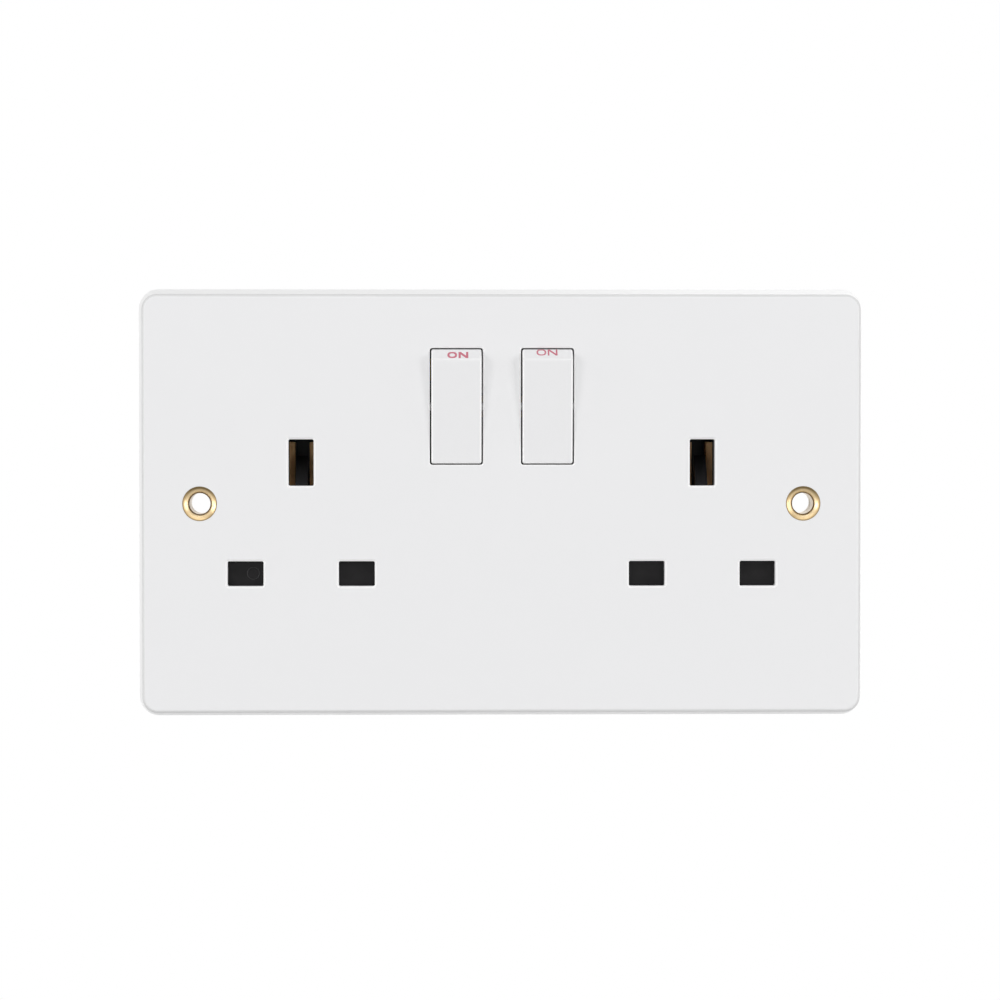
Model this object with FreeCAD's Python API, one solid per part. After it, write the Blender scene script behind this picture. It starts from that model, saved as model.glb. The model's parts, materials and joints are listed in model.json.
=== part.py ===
# UK twin switched socket outlet, flush plate with two rockers and brass eyelets.
# Frame: X to the right, Z up, the face looks along -Y. The wall plane is y = 0, and the
# origin is the middle between the two fixing holes. Lengths are millimetres, angles degrees.
import FreeCAD, Part
import math
import os

Vector = FreeCAD.Vector

# Plate
plate_height = 86.0
plate_depth = 9.0
rim_draft = 1.25
rim_corner_radius = 4.0
face_corner_radius = 3.0
face_edge_radius = 0.8
front_wall = 2.6
rim_wall = 2.2
rib_thickness = 1.2
gusset_reach = 5.0

# Fixing holes and their brass eyelets
fixing_pitch = 120.6
fixing_to_edge = 12.7
fixing_hole_radius = 2.1
eyelet_wall = 0.4
eyelet_flare_radius = 3.45
eyelet_flare_depth = 1.5
eyelet_sink = 0.1
eyelet_roll_radius = 3.3
eyelet_roll = 0.4
eyelet_bowl = 0.14
eyelet_throat_radius = 0.3
boss_radius = 4.8

# Pin layout and apertures
socket_pitch = 80.2
pin_pitch = 22.2
earth_rise = 22.2
earth_height = 8.2
earth_slot_width = 5.05
earth_slot_height = 9.3
line_slot_width = 7.2
line_slot_height = 5.0
slot_bevel = 0.4
slot_corner_radius = 0.35

# Pins of the plug that the socket takes
earth_pin_width = 4.0
earth_pin_height = 8.0
earth_pin_length = 22.7
line_pin_height = 4.0
line_pin_length = 17.7

# Rockers
rocker_pitch = 18.2
rocker_height = 19.4
well_width = 10.6
well_length = 23.3
well_corner_radius = 0.5
well_edge_radius = 0.25
skirt_wall = 1.0
rocker_side_gap = 0.3
rocker_end_gap = 0.13
rocker_corner_radius = 0.4
rocker_crown = 3.4
rocker_depth = 1.6
rocker_wall = 1.2
facet_run = 1.76
facet_drop = 2.4
ridge_radius = 0.3
heel_radius = 0.35
pivot_setback = 2.2
rocker_tilt = 5.5
trunnion_radius = 0.8
trunnion_clearance = 0.08
stem_radius = 2.5
stem_length = 6.4
stem_bore_radius = 1.6
stem_bore_depth = 7.0

# Plunger in the rocker's stem
plunger_reach = 8.6
plunger_nose_radius = 1.2
plunger_clearance = 0.08
plunger_length = 5.0

# Springs
spring_wire = 0.35
spring_wire_sides = 6
plunger_spring_turns = 5
shutter_spring_turns = 8
shutter_spring_radius = 1.3
spring_clearance = 0.2

# Contact arms
pivot_spacing = 11.0
arm_tilt = 9.0
arm_width = 5.0
arm_up = 9.4
arm_down = 8.6
arm_standoff = 1.0
arm_thickness = 0.8
arm_pin_radius = 0.8
arm_pin_clearance = 0.06
arm_side_gap = 0.3
cradle_ear = 0.9
contact_radius = 1.6
contact_height = 7.6
contact_body = 0.5
contact_dome = 0.3
contact_gap = 0.15

# Shutters
shutter_gap = 0.2
shutter_thickness = 1.6
shutter_overlap = 0.75
shutter_back_gap = 0.4
shutter_stem_width = 6.4
shutter_travel = 5.8
shutter_guide_gap = 0.25
shutter_tongue = 2.8
ramp_width = 2.4
ramp_foot = 3.9
ramp_top = 9.5
ramp_gap = 0.58
shutter_spring_length = 11.0

# Inner cover
cover_thickness = 1.6
cover_play = 0.2

# Rear housing
pin_end_gap = 0.5
housing_margin_x = 6.3
housing_room = 1.8
housing_wall = 1.6
housing_floor = 1.8
housing_corner_radius = 3.0
housing_edge_radius = 0.8
lug_room = 5.7
lug_half_height = 7.0
lug_slope = 2.0

# Screws that hold the housing to the plate
screw_inset_x = 9.5
screw_inset_z = 4.6
middle_screw_inset = 6.0
screw_radius = 1.3
screw_fit = 0.02
screw_head_radius = 2.3
screw_head_height = 1.8
screw_seat = 5.0
screw_reach = 10.4
screw_slot = 0.6
screw_slot_depth = 0.9
pillar_radius = 2.4
screw_boss_wall = 1.0

# Strips, bars and clips
strip_thickness = 0.6
strip_width = 6.0
strip_setback = 1.0
bar_thickness = 0.8
bar_width = 4.0
neutral_bar_height = -0.6
live_bar_setback = 4.0
live_bar_width = 4.4
load_strip_forward = 1.4
load_strip_width = 4.4
jaw_width = 6.0
jaw_thickness = 0.6
jaw_throat = 3.4
jaw_mouth = 6.2
jaw_clearance = 1.5
earth_jaw_throat = 2.9
earth_jaw_mouth = 5.0
earth_jaw_depth = 9.5
earth_jaw_flare = 1.1
earth_web_gap = 0.9
rivet_radius = 1.0
rivet_fit = 0.02
rivet_head_radius = 1.7
rivet_head_height = 0.4

# Terminals
terminal_pitch = 15.0
terminal_size_x = 8.4
terminal_size_y = 9.0
terminal_size_z = 9.0
terminal_front = 4.6
terminal_edge = 0.2
wire_bore_radius = 2.5
wire_bore_inset = 3.6
stud_radius = 1.2
stud_height = 1.2
tail_width = 5.0
terminal_screw_radius = 1.95
terminal_screw_fit = 0.05
terminal_screw_head_radius = 3.0
terminal_screw_head_height = 1.5
terminal_screw_backoff = 0.3
trough_gap = 0.3
trough_wall = 1.4
ledge = 1.2
tail_gap = 0.25

# Planes along Y, from the face to the back
face_y = -plate_depth
wall_inner_y = face_y + front_wall
shutter_front_y = wall_inner_y + shutter_gap
shutter_back_y = shutter_front_y + shutter_thickness
cover_front_y = shutter_back_y + shutter_back_gap
cover_back_y = cover_front_y + cover_thickness
floor_y = face_y + earth_pin_length + pin_end_gap
housing_rear = floor_y + housing_floor
strip_front_y = -strip_setback
strip_back_y = strip_front_y + strip_thickness
terminal_rear_y = terminal_front + terminal_size_y
tail_front_y = terminal_front - bar_thickness
trough_front_y = tail_front_y - bar_thickness
jaw_base_y = face_y + line_pin_length + jaw_clearance
bar_front_y = jaw_base_y + jaw_thickness
bar_back_y = bar_front_y + bar_thickness
rocker_pivot_y = face_y + pivot_setback
arm_pivot_y = rocker_pivot_y + pivot_spacing
live_bar_front_y = arm_pivot_y + live_bar_setback
live_bar_back_y = live_bar_front_y + bar_thickness
load_front_y = live_bar_front_y - load_strip_forward
load_back_y = load_front_y + bar_thickness

# Places across the plate
fixing_x = fixing_pitch / 2
plate_width = fixing_pitch + 2 * fixing_to_edge
socket_x = socket_pitch / 2
line_z = earth_height - earth_rise
rocker_x = rocker_pitch / 2
housing_half_width = socket_x + pin_pitch / 2 + housing_margin_x
lug_x = fixing_x - lug_room
barrel_radius = fixing_hole_radius + eyelet_wall
shutter_half_width = pin_pitch / 2 + line_slot_width / 2 + shutter_overlap
shutter_low_z = line_z - line_slot_height / 2 - shutter_overlap
shutter_high_z = line_z + line_slot_height / 2 + shutter_overlap
tongue_low_z = shutter_low_z - shutter_tongue
spring_low_z = tongue_low_z - shutter_spring_length
spring_y = shutter_back_y - spring_clearance
neutral_low_z = neutral_bar_height - bar_width / 2
strip_low_z = -strip_width / 2
trough_top_z = min(neutral_low_z, strip_low_z) - tail_gap
terminal_top = trough_top_z - trough_wall - trough_gap
terminal_low_z = terminal_top - terminal_size_z
wire_bore_y = terminal_front + wire_bore_inset
screw_boss_radius = screw_head_radius + spring_clearance + screw_boss_wall
contact_z = rocker_height + contact_height * math.cos(math.radians(arm_tilt))
housing_inner_top = contact_z + load_strip_width / 2 + housing_room
housing_half_height = max(housing_inner_top, -spring_low_z) + housing_wall
screw_x = housing_half_width - screw_inset_x
screw_z = housing_half_height - screw_inset_z
middle_screw_z = housing_half_height - middle_screw_inset
screw_places = [(sx * screw_x, sz * screw_z) for sx in (-1, 1) for sz in (-1, 1)]
screw_places.append((0.0, middle_screw_z))

ALONG_X = Vector(1, 0, 0)
ALONG_Y = Vector(0, 1, 0)
ALONG_Z = Vector(0, 0, 1)

# How near two computed places have to be to count as the same one
slack = 1e-4


def box(x0, x1, y0, y1, z0, z1):
    """A block between two corners."""
    return Part.makeBox(x1 - x0, y1 - y0, z1 - z0, Vector(x0, y0, z0))


def rod_y(x, z, radius, y0, y1):
    """A cylinder along Y."""
    return Part.makeCylinder(radius, y1 - y0, Vector(x, y0, z), ALONG_Y)


def rod_x(y, z, radius, x0, x1):
    """A cylinder along X."""
    return Part.makeCylinder(radius, x1 - x0, Vector(x0, y, z), ALONG_X)


def rod_z(x, y, radius, z0, z1):
    """A cylinder along Z."""
    return Part.makeCylinder(radius, z1 - z0, Vector(x, y, z0), ALONG_Z)


def plan(points, y0, y1):
    """A straight-sided outline in X and Z, raised from y0 to y1."""
    corners = [Vector(x, y0, z) for x, z in points]
    face = Part.Face(Part.makePolygon(corners + corners[:1]))
    return face.extrude(Vector(0, y1 - y0, 0))


def profile(points, x0, x1):
    """A straight-sided outline in Y and Z, drawn out from x0 to x1."""
    corners = [Vector(x0, y, z) for y, z in points]
    face = Part.Face(Part.makePolygon(corners + corners[:1]))
    return face.extrude(Vector(x1 - x0, 0, 0))


def section(points, z0, z1):
    """A straight-sided outline in X and Y, drawn out from z0 to z1."""
    corners = [Vector(x, y, z0) for x, y in points]
    face = Part.Face(Part.makePolygon(corners + corners[:1]))
    return face.extrude(Vector(0, 0, z1 - z0))


def turned(points, x, z):
    """A solid of revolution about the line along Y through (x, z), from (radius, y) points."""
    corners = [Vector(x + radius, y, z) for radius, y in points]
    face = Part.Face(Part.makePolygon(corners + corners[:1]))
    return face.revolve(Vector(x, 0, z), ALONG_Y, 360)


def rounded_outline(width, height, radius, y, x=0.0, z=0.0):
    """A closed wire at depth y: a rectangle with round corners, centred on (x, z)."""
    half_w = width / 2
    half_h = height / 2
    slant = radius * math.sqrt(0.5)
    edges = []
    for sx, sz, first_is_side in ((1, 1, True), (-1, 1, False), (-1, -1, True), (1, -1, False)):
        centre = Vector(x + sx * (half_w - radius), y, z + sz * (half_h - radius))
        side = centre + Vector(sx * radius, 0, 0)
        end = centre + Vector(0, 0, sz * radius)
        middle = centre + Vector(sx * slant, 0, sz * slant)
        arc = (side, middle, end) if first_is_side else (end, middle, side)
        if edges:
            edges.append(Part.makeLine(edges[-1].Vertexes[-1].Point, arc[0]))
        edges.append(Part.Arc(*arc).toShape())
    edges.append(Part.makeLine(edges[-1].Vertexes[-1].Point, edges[0].Vertexes[0].Point))
    return Part.Wire(edges)


def rounded_block(width, height, radius, y0, y1, x=0.0, z=0.0):
    """A block along Y whose four long edges are round."""
    face = Part.Face(rounded_outline(width, height, radius, y0, x, z))
    return face.extrude(Vector(0, y1 - y0, 0))


def tapered_block(size0, size1, y0, y1, x=0.0, z=0.0):
    """A loft along Y between two round-cornered rectangles, each (width, height, radius)."""
    wires = [rounded_outline(*size0, y0, x, z), rounded_outline(*size1, y1, x, z)]
    return Part.makeLoft(wires, True, True)


def fused(shapes):
    """One solid from several that meet."""
    first, *rest = shapes
    return first.fuse(rest).removeSplitter() if rest else first


def pierced(shape, cutters):
    """A solid with all the cutters taken away."""
    return shape.cut(cutters)


def folded(points, thickness, x0, x1):
    """Sheet metal folded along a line of (y, z) points, which is the middle of its thickness."""
    return profile(thickened(points, thickness), x0, x1)


def thickened(points, thickness):
    """The outline of a line of points that is given a thickness, with mitred corners."""
    half = thickness / 2
    near = []
    far = []
    for i, (a, b) in enumerate(points):
        directions = []
        for p, q in ((i - 1, i), (i, i + 1)):
            if p >= 0 and q < len(points):
                da = points[q][0] - points[p][0]
                db = points[q][1] - points[p][1]
                length = math.hypot(da, db)
                directions.append((da / length, db / length))
        first = directions[0]
        last = directions[-1]
        normal = (-first[1] - last[1], first[0] + last[0])
        size = math.hypot(*normal)
        normal = (normal[0] / size, normal[1] / size)
        reach = half / (-normal[0] * first[1] + normal[1] * first[0])
        near.append((a + normal[0] * reach, b + normal[1] * reach))
        far.append((a - normal[0] * reach, b - normal[1] * reach))
    return near + far[::-1]


def ribbon(points, width, y0, y1):
    """A flat stamping that follows a line of (x, z) points, with round corners and ends."""
    pieces = []
    for (xa, za), (xb, zb) in zip(points, points[1:]):
        pieces.append(plan(thickened([(xa, za), (xb, zb)], width), y0, y1))
    for x, z in points:
        pieces.append(rod_y(x, z, width / 2, y0, y1))
    return fused(pieces)


def coil(radius, wire, turns, length):
    """A compression spring that stands on z = 0 with its outside at the given radius.

    The wire's round section is drawn with a few flat sides.
    """
    middle = radius - wire / 2
    pitch = (length - wire) / turns
    helix = Part.makeHelix(pitch, length - wire, middle)
    turn = 2 * math.pi / spring_wire_sides
    corners = [Vector(middle + wire / 2 * math.cos(i * turn), 0, wire / 2 * math.sin(i * turn))
               for i in range(spring_wire_sides)]
    section_wire = Part.makePolygon(corners + corners[:1])
    pipe = Part.Wire(helix).makePipeShell([section_wire], True, True)
    pipe.translate(Vector(0, 0, wire / 2))
    return pipe


def edges_along(shape, axis, chosen=lambda edge: True):
    """The straight edges that run along an axis and that a test lets through."""
    found = []
    for edge in shape.Edges:
        if isinstance(edge.Curve, Part.Line):
            direction = edge.Vertexes[-1].Point - edge.Vertexes[0].Point
            if direction.cross(axis).Length < slack * direction.Length and chosen(edge):
                found.append(edge)
    return found


def edges_in_plane(shape, y):
    """The edges that lie wholly at one depth."""
    return [e for e in shape.Edges if abs(e.BoundBox.YMin - y) + abs(e.BoundBox.YMax - y) < slack]


def edges_near(shape, point):
    """The edges whose middle is at a point."""
    return [e for e in shape.Edges if (e.CenterOfMass - point).Length < slack]


def housing_plan(grown, y0, y1):
    """The housing's outline, with a bay on each side for the wall box's lug."""
    half_w = housing_half_width + grown
    half_h = housing_half_height + grown
    bay_x = lug_x + grown
    bay_z = lug_half_height - grown
    quarter = [(half_w, half_h), (half_w, bay_z + lug_slope), (bay_x, bay_z)]
    right = quarter + [(x, -z) for x, z in quarter[::-1]]
    block = plan(right + [(-x, z) for x, z in right[::-1]], y0, y1)
    corners = edges_along(block, ALONG_Y, lambda e: abs(e.Vertexes[0].Z) > half_h - slack)
    return block.makeFillet(housing_corner_radius + grown, corners)


def rocker_section(inset):
    """The rocker's outline in Y and Z about its pivot, level, as a face at x = 0.

    The face ends at the top in a facet and at the heel on the round end itself.
    """
    radius = well_length / 2 - rocker_end_gap - inset
    crown = rocker_crown - inset
    shoulder = crown - facet_drop

    def on_round(v, end):
        return Vector(0, -v, end * math.sqrt(radius ** 2 - v ** 2))

    def round_end(first_v, last_v, end):
        middle = on_round((first_v + last_v) / 2, end)
        return Part.Arc(on_round(first_v, end), middle, on_round(last_v, end)).toShape()

    heel = on_round(crown, -1)
    ridge = on_round(shoulder, 1) + Vector(0, -facet_drop, -facet_run)
    edges = [Part.makeLine(heel, ridge), Part.makeLine(ridge, on_round(shoulder, 1))]
    edges.append(round_end(shoulder, -rocker_depth, 1))
    edges.append(Part.makeLine(on_round(-rocker_depth, 1), on_round(-rocker_depth, -1)))
    edges.append(round_end(-rocker_depth, crown, -1))
    return Part.Face(Part.Wire(edges))


def rocker_block(inset):
    """The rocker's section drawn out to its width, centred on the pivot."""
    half_w = well_width / 2 - rocker_side_gap - inset
    face = rocker_section(inset)
    face.translate(Vector(-half_w, 0, 0))
    return face.extrude(Vector(2 * half_w, 0, 0))


def at_rocker(shape, side):
    """Puts a level shape, made about the pivot, into the plate in the on position."""
    shape.rotate(Vector(0, 0, 0), ALONG_X, rocker_tilt)
    shape.translate(Vector(side * rocker_x, rocker_pivot_y, rocker_height))
    return shape


def rocker(side):
    """A hollow rocker with its trunnions and the stem that guides the plunger."""
    shell = rocker_block(0)
    half_w = well_width / 2 - rocker_side_gap
    across = edges_along(shell, ALONG_X, lambda e: e.Vertexes[0].Y < -rocker_crown + slack)
    heel, ridge = sorted(across, key=lambda e: e.Vertexes[0].Z)
    shell = shell.makeFillet(ridge_radius, [ridge])
    shell = shell.makeFillet(heel_radius, edges_near(shell, heel.CenterOfMass))
    corners = [e for e in shell.Edges if abs(abs(e.CenterOfMass.x) - half_w) < slack
               and e.CenterOfMass.y < rocker_depth - slack]
    shell = shell.makeFillet(rocker_corner_radius, corners)
    hollow = rocker_block(rocker_wall)
    shell = shell.cut(hollow)
    stem = rod_y(0, 0, stem_radius, rocker_wall - rocker_crown, stem_length)
    trunnion_end = well_width / 2 + skirt_wall - trunnion_clearance
    trunnions = [rod_x(0, 0, trunnion_radius, *sorted((s * half_w, s * trunnion_end))) for s in (-1, 1)]
    body = fused([shell, stem] + trunnions)
    bore = rod_y(0, 0, stem_bore_radius, stem_length - stem_bore_depth, stem_length)
    return at_rocker(body.cut(bore), side)


def plunger(side):
    """The plunger: a pin with a round nose that slides in the rocker's stem."""
    radius = stem_bore_radius - plunger_clearance
    back = plunger_reach - plunger_length
    taper = radius - plunger_nose_radius
    pin = turned([(0, back), (radius, back), (radius, plunger_reach - 2 * taper),
                  (plunger_nose_radius, plunger_reach), (0, plunger_reach)], 0, 0)
    nose = Part.makeSphere(plunger_nose_radius, Vector(0, plunger_reach, 0))
    return at_rocker(pin.fuse(nose).removeSplitter(), side)


def plunger_spring(side):
    """The spring between the bottom of the stem's bore and the plunger."""
    bore_end = stem_length - stem_bore_depth
    length = plunger_reach - plunger_length - bore_end
    radius = stem_bore_radius - plunger_clearance - spring_clearance
    shape = coil(radius, spring_wire, plunger_spring_turns, length)
    shape.rotate(Vector(0, 0, 0), ALONG_X, -90)
    shape.translate(Vector(0, bore_end, 0))
    return at_rocker(shape, side)


def at_arm(shape, side):
    """Puts a level shape, made about the arm's pivot, into place with the contacts closed."""
    shape.rotate(Vector(0, 0, 0), ALONG_X, -arm_tilt)
    shape.translate(Vector(side * rocker_x, arm_pivot_y, rocker_height))
    return shape


def contact_arm(side):
    """The see-saw arm with its cross pin."""
    half = arm_width / 2
    back = arm_thickness - arm_standoff
    blade = box(-half, half, -arm_standoff, back, -arm_down, arm_up)
    ends = edges_along(blade, ALONG_Y)
    blade = blade.makeFillet(half / 2, ends)
    pin_end = half + arm_side_gap + cradle_ear
    pin = rod_x(0, 0, arm_pin_radius, -pin_end, pin_end)
    hole = rod_y(0, contact_height, rivet_radius, -arm_standoff, back)
    return at_arm(fused([blade, pin]).cut(hole), side)


def moving_contact(side):
    """A domed silver button on the back of the arm's upper end, riveted through it."""
    back = arm_thickness - arm_standoff
    rim = back + contact_body
    shank = rod_y(0, contact_height, rivet_radius - rivet_fit, -arm_standoff, back)
    button = rod_y(0, contact_height, contact_radius, back, rim + contact_dome)
    dome = dome_radius()
    ball = Part.makeSphere(dome, Vector(0, rim + contact_dome - dome, contact_height))
    return at_arm(fused([shank, button.common(ball)]), side)


def dome_radius():
    """The radius of the ball that the moving contact's dome is cut from."""
    return (contact_radius ** 2 + contact_dome ** 2) / (2 * contact_dome)


def closed_contact_y():
    """How far back the moving contact's dome comes when the contacts are closed."""
    dome = dome_radius()
    tilt = math.radians(arm_tilt)
    apex = arm_thickness - arm_standoff + contact_body + contact_dome
    return arm_pivot_y + (apex - dome) * math.cos(tilt) + contact_height * math.sin(tilt) + dome


def fixed_contact(side):
    """The silver button on the load strip, riveted through it."""
    front = closed_contact_y() + contact_gap
    shank = rivet_radius - rivet_fit
    points = [(0, front), (contact_radius, front), (contact_radius, load_front_y),
              (shank, load_front_y), (shank, load_back_y), (0, load_back_y)]
    return turned(points, side * rocker_x, contact_z)


def eyelet(side):
    """A brass tube flared into the face's countersink and rolled over behind the earth strip."""
    x = side * fixing_x
    front = face_y + eyelet_sink
    deep = front + eyelet_flare_depth
    outer = [(eyelet_flare_radius, front), (eyelet_flare_radius, front + eyelet_wall / 2),
             (barrel_radius, deep), (barrel_radius, -eyelet_roll),
             (eyelet_roll_radius, -eyelet_roll), (eyelet_roll_radius, 0)]
    outer = [(fixing_hole_radius, 0)] + outer[::-1]
    edges = [Part.makeLine(Vector(x + r0, y0, 0), Vector(x + r1, y1, 0))
             for (r0, y0), (r1, y1) in zip(outer, outer[1:])]
    lip_radius = eyelet_flare_radius - eyelet_wall / 2
    throat_y = deep - eyelet_wall
    rim = Vector(x + eyelet_flare_radius, front, 0)
    edges.append(Part.makeLine(rim, Vector(x + lip_radius, front, 0)))
    middle = Vector(x + (fixing_hole_radius + lip_radius) / 2 - eyelet_bowl,
                    (front + throat_y) / 2 - eyelet_bowl, 0)
    edges.append(Part.Arc(Vector(x + lip_radius, front, 0), middle,
                          Vector(x + fixing_hole_radius, throat_y, 0)).toShape())
    throat = Vector(x + fixing_hole_radius, throat_y, 0)
    edges.append(Part.makeLine(throat, Vector(x + fixing_hole_radius, 0, 0)))
    body = Part.Face(Part.Wire(edges)).revolve(Vector(x, 0, 0), ALONG_Y, 360)
    return body.makeFillet(eyelet_throat_radius, edges_in_plane(body, throat_y))


def countersink(side):
    """What the fixing hole takes out of the plate: the barrel's bore and the flare's seat."""
    x = side * fixing_x
    front = face_y + eyelet_sink
    ahead = face_y - eyelet_sink
    play = rivet_fit
    points = [(0, ahead), (eyelet_flare_radius + play, ahead),
              (eyelet_flare_radius + play, front + eyelet_wall / 2),
              (barrel_radius + play, front + eyelet_flare_depth), (barrel_radius + play, 0), (0, 0)]
    return turned(points, x, 0)


def pin_slot(x, z, width, height):
    """An aperture through the front wall with a bevel round its mouth."""
    through = rounded_block(width, height, slot_corner_radius, face_y, wall_inner_y, x, z)
    mouth = (width + 2 * slot_bevel, height + 2 * slot_bevel, slot_corner_radius + slot_bevel)
    narrow = (width, height, slot_corner_radius)
    bevel = tapered_block(mouth, narrow, face_y, face_y + slot_bevel, x, z)
    return through.fuse(bevel)


def pin_slots():
    """The six apertures of the two sockets."""
    slots = []
    for side in (-1, 1):
        x = side * socket_x
        slots.append(pin_slot(x, earth_height, earth_slot_width, earth_slot_height))
        for pin in (-1, 1):
            slots.append(pin_slot(x + pin * pin_pitch / 2, line_z, line_slot_width, line_slot_height))
    return slots


def plate_shell():
    """The plate's outer form, hollow behind, with its front edge rounded."""
    face_width = plate_width - 2 * rim_draft
    face_height = plate_height - 2 * rim_draft
    outer = tapered_block((face_width, face_height, face_corner_radius),
                          (plate_width, plate_height, rim_corner_radius), face_y, 0)
    outer = outer.makeFillet(face_edge_radius, edges_in_plane(outer, face_y))
    draft = rim_draft * (1 - front_wall / plate_depth)
    inner_radius = max(rim_corner_radius - rim_wall, rim_wall / 2)
    hollow = tapered_block(
        (plate_width - 2 * (rim_wall + draft), plate_height - 2 * (rim_wall + draft), inner_radius),
        (plate_width - 2 * rim_wall, plate_height - 2 * rim_wall, inner_radius), wall_inner_y, 0)
    return outer.cut(hollow)


def guide_ribs(side):
    """The ribs that guide one shutter and stop it and its spring, down to the inner cover."""
    x = side * socket_x
    ribs = []
    low = shutter_low_z - shutter_travel
    for s in (-1, 1):
        inner = shutter_half_width + shutter_guide_gap
        ribs.append((x + s * inner, x + s * (inner + rib_thickness), low, shutter_high_z))
        inner = shutter_stem_width / 2 + shutter_guide_gap
        ribs.append((x + s * inner, x + s * (inner + rib_thickness), shutter_high_z + shutter_guide_gap,
                     ramp_foot - shutter_guide_gap))
        ribs.append((x + s * inner, x + s * (pin_pitch / 2), shutter_high_z + shutter_guide_gap,
                     shutter_high_z + shutter_guide_gap + rib_thickness))
    half = shutter_spring_radius + rib_thickness
    ribs.append((x - half, x + half, spring_low_z - rib_thickness, spring_low_z))
    return [box(min(a, b), max(a, b), wall_inner_y, cover_front_y, z0, z1) for a, b, z0, z1 in ribs]


def locating_wall():
    """The low wall round the inner cover and the housing's front edge."""
    outer = housing_plan(cover_play + rib_thickness, wall_inner_y, strip_front_y - cover_play)
    return outer.cut(housing_plan(cover_play, wall_inner_y, strip_front_y - cover_play))


def gussets():
    """The triangular ribs that brace the rim against the front wall, beside the inner cover."""
    half_w = plate_width / 2 - rim_draft - rim_wall / 2
    half_h = plate_height / 2 - rim_draft - rim_wall / 2
    half = rib_thickness / 2
    outer_x = socket_x + pin_pitch / 2
    inner_x = socket_x - pin_pitch / 2
    ribs = []
    triangle = [(0.0, wall_inner_y), (-gusset_reach, wall_inner_y), (0.0, wall_inner_y + gusset_reach)]
    for side in (-1, 1):
        for x in (-outer_x, -inner_x, inner_x, outer_x):
            points = [(y, side * (half_h + step)) for step, y in triangle]
            ribs.append(profile(points, x - half, x + half))
        for z in (-plate_height / 4, plate_height / 4):
            points = [(side * (half_w + step), y) for step, y in triangle]
            ribs.append(section(points, z - half, z + half))
    cover_seat = housing_plan(cover_play, cover_front_y, 0)
    return [rib.cut(cover_seat) for rib in ribs]


def rocker_skirt(side):
    """The wall round a rocker's well, down to the inner cover."""
    radius = well_corner_radius + skirt_wall
    return rounded_block(well_width + 2 * skirt_wall, well_length + 2 * skirt_wall, radius,
                         wall_inner_y, cover_front_y, side * rocker_x, rocker_height)


def rocker_well(side):
    """The well, with its edge eased, and the open bearings for the rocker's trunnions."""
    x = side * rocker_x
    well = rounded_block(well_width, well_length, well_corner_radius, face_y, cover_front_y, x,
                         rocker_height)
    eased = (well_width + 2 * well_edge_radius, well_length + 2 * well_edge_radius,
             well_corner_radius + well_edge_radius)
    mouth = tapered_block(eased, (well_width, well_length, well_corner_radius), face_y,
                          face_y + well_edge_radius, x, rocker_height)
    half_w = well_width / 2 + skirt_wall
    radius = trunnion_radius + trunnion_clearance
    seat = rod_x(rocker_pivot_y, rocker_height, radius, x - half_w, x + half_w)
    way_in = box(x - half_w, x + half_w, rocker_pivot_y, cover_front_y,
                 rocker_height - radius, rocker_height + radius)
    return fused([well, mouth, seat, way_in])


def front_plate():
    """The one-piece plate: face, rim, ribs, wells, bosses and pillars."""
    pieces = [plate_shell(), locating_wall()]
    pieces += [rod_y(side * fixing_x, 0, boss_radius, wall_inner_y, strip_front_y) for side in (-1, 1)]
    pieces += [rod_y(x, z, pillar_radius, wall_inner_y, cover_back_y) for x, z in screw_places]
    pieces += [rocker_skirt(side) for side in (-1, 1)]
    for side in (-1, 1):
        pieces += guide_ribs(side)
    pieces += gussets()
    cutters = pin_slots()
    cutters += [rocker_well(side) for side in (-1, 1)]
    cutters += [countersink(side) for side in (-1, 1)]
    pilot = screw_radius + screw_fit
    cutters += [rod_y(x, z, pilot, screw_seat - screw_reach, cover_back_y) for x, z in screw_places]
    return pierced(fused(pieces), cutters)


def shutter(side):
    """A shutter: two blades, a stem, a ramp for the earth pin and a tongue for the spring."""
    x = side * socket_x
    half_stem = shutter_stem_width / 2
    blades = box(x - shutter_half_width, x + shutter_half_width, shutter_front_y, shutter_back_y,
                 shutter_low_z, shutter_high_z)
    stem = box(x - half_stem, x + half_stem, shutter_front_y, shutter_back_y, shutter_high_z,
               ramp_foot - shutter_guide_gap)
    ramp_back = strip_front_y - ramp_gap
    half_ramp = ramp_width / 2
    root = ramp_foot - shutter_guide_gap
    ramp = profile([(shutter_front_y, root - ramp_width), (shutter_front_y, ramp_foot),
                    (ramp_back, ramp_top), (ramp_back, root)], x - half_ramp, x + half_ramp)
    half_tongue = shutter_spring_radius
    tongue = box(x - half_tongue, x + half_tongue, shutter_front_y, shutter_back_y,
                 tongue_low_z, shutter_low_z)
    peg = rod_z(x, spring_y, shutter_spring_radius - spring_wire - spring_clearance,
                tongue_low_z - 2 * spring_wire, tongue_low_z)
    return fused([blades, stem, ramp, tongue, peg])


def shutter_spring(side):
    """The spring that holds a shutter closed, from its tongue down to the stop rib."""
    shape = coil(shutter_spring_radius, spring_wire, shutter_spring_turns, shutter_spring_length)
    shape.translate(Vector(side * socket_x, spring_y, spring_low_z))
    return shape


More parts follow.
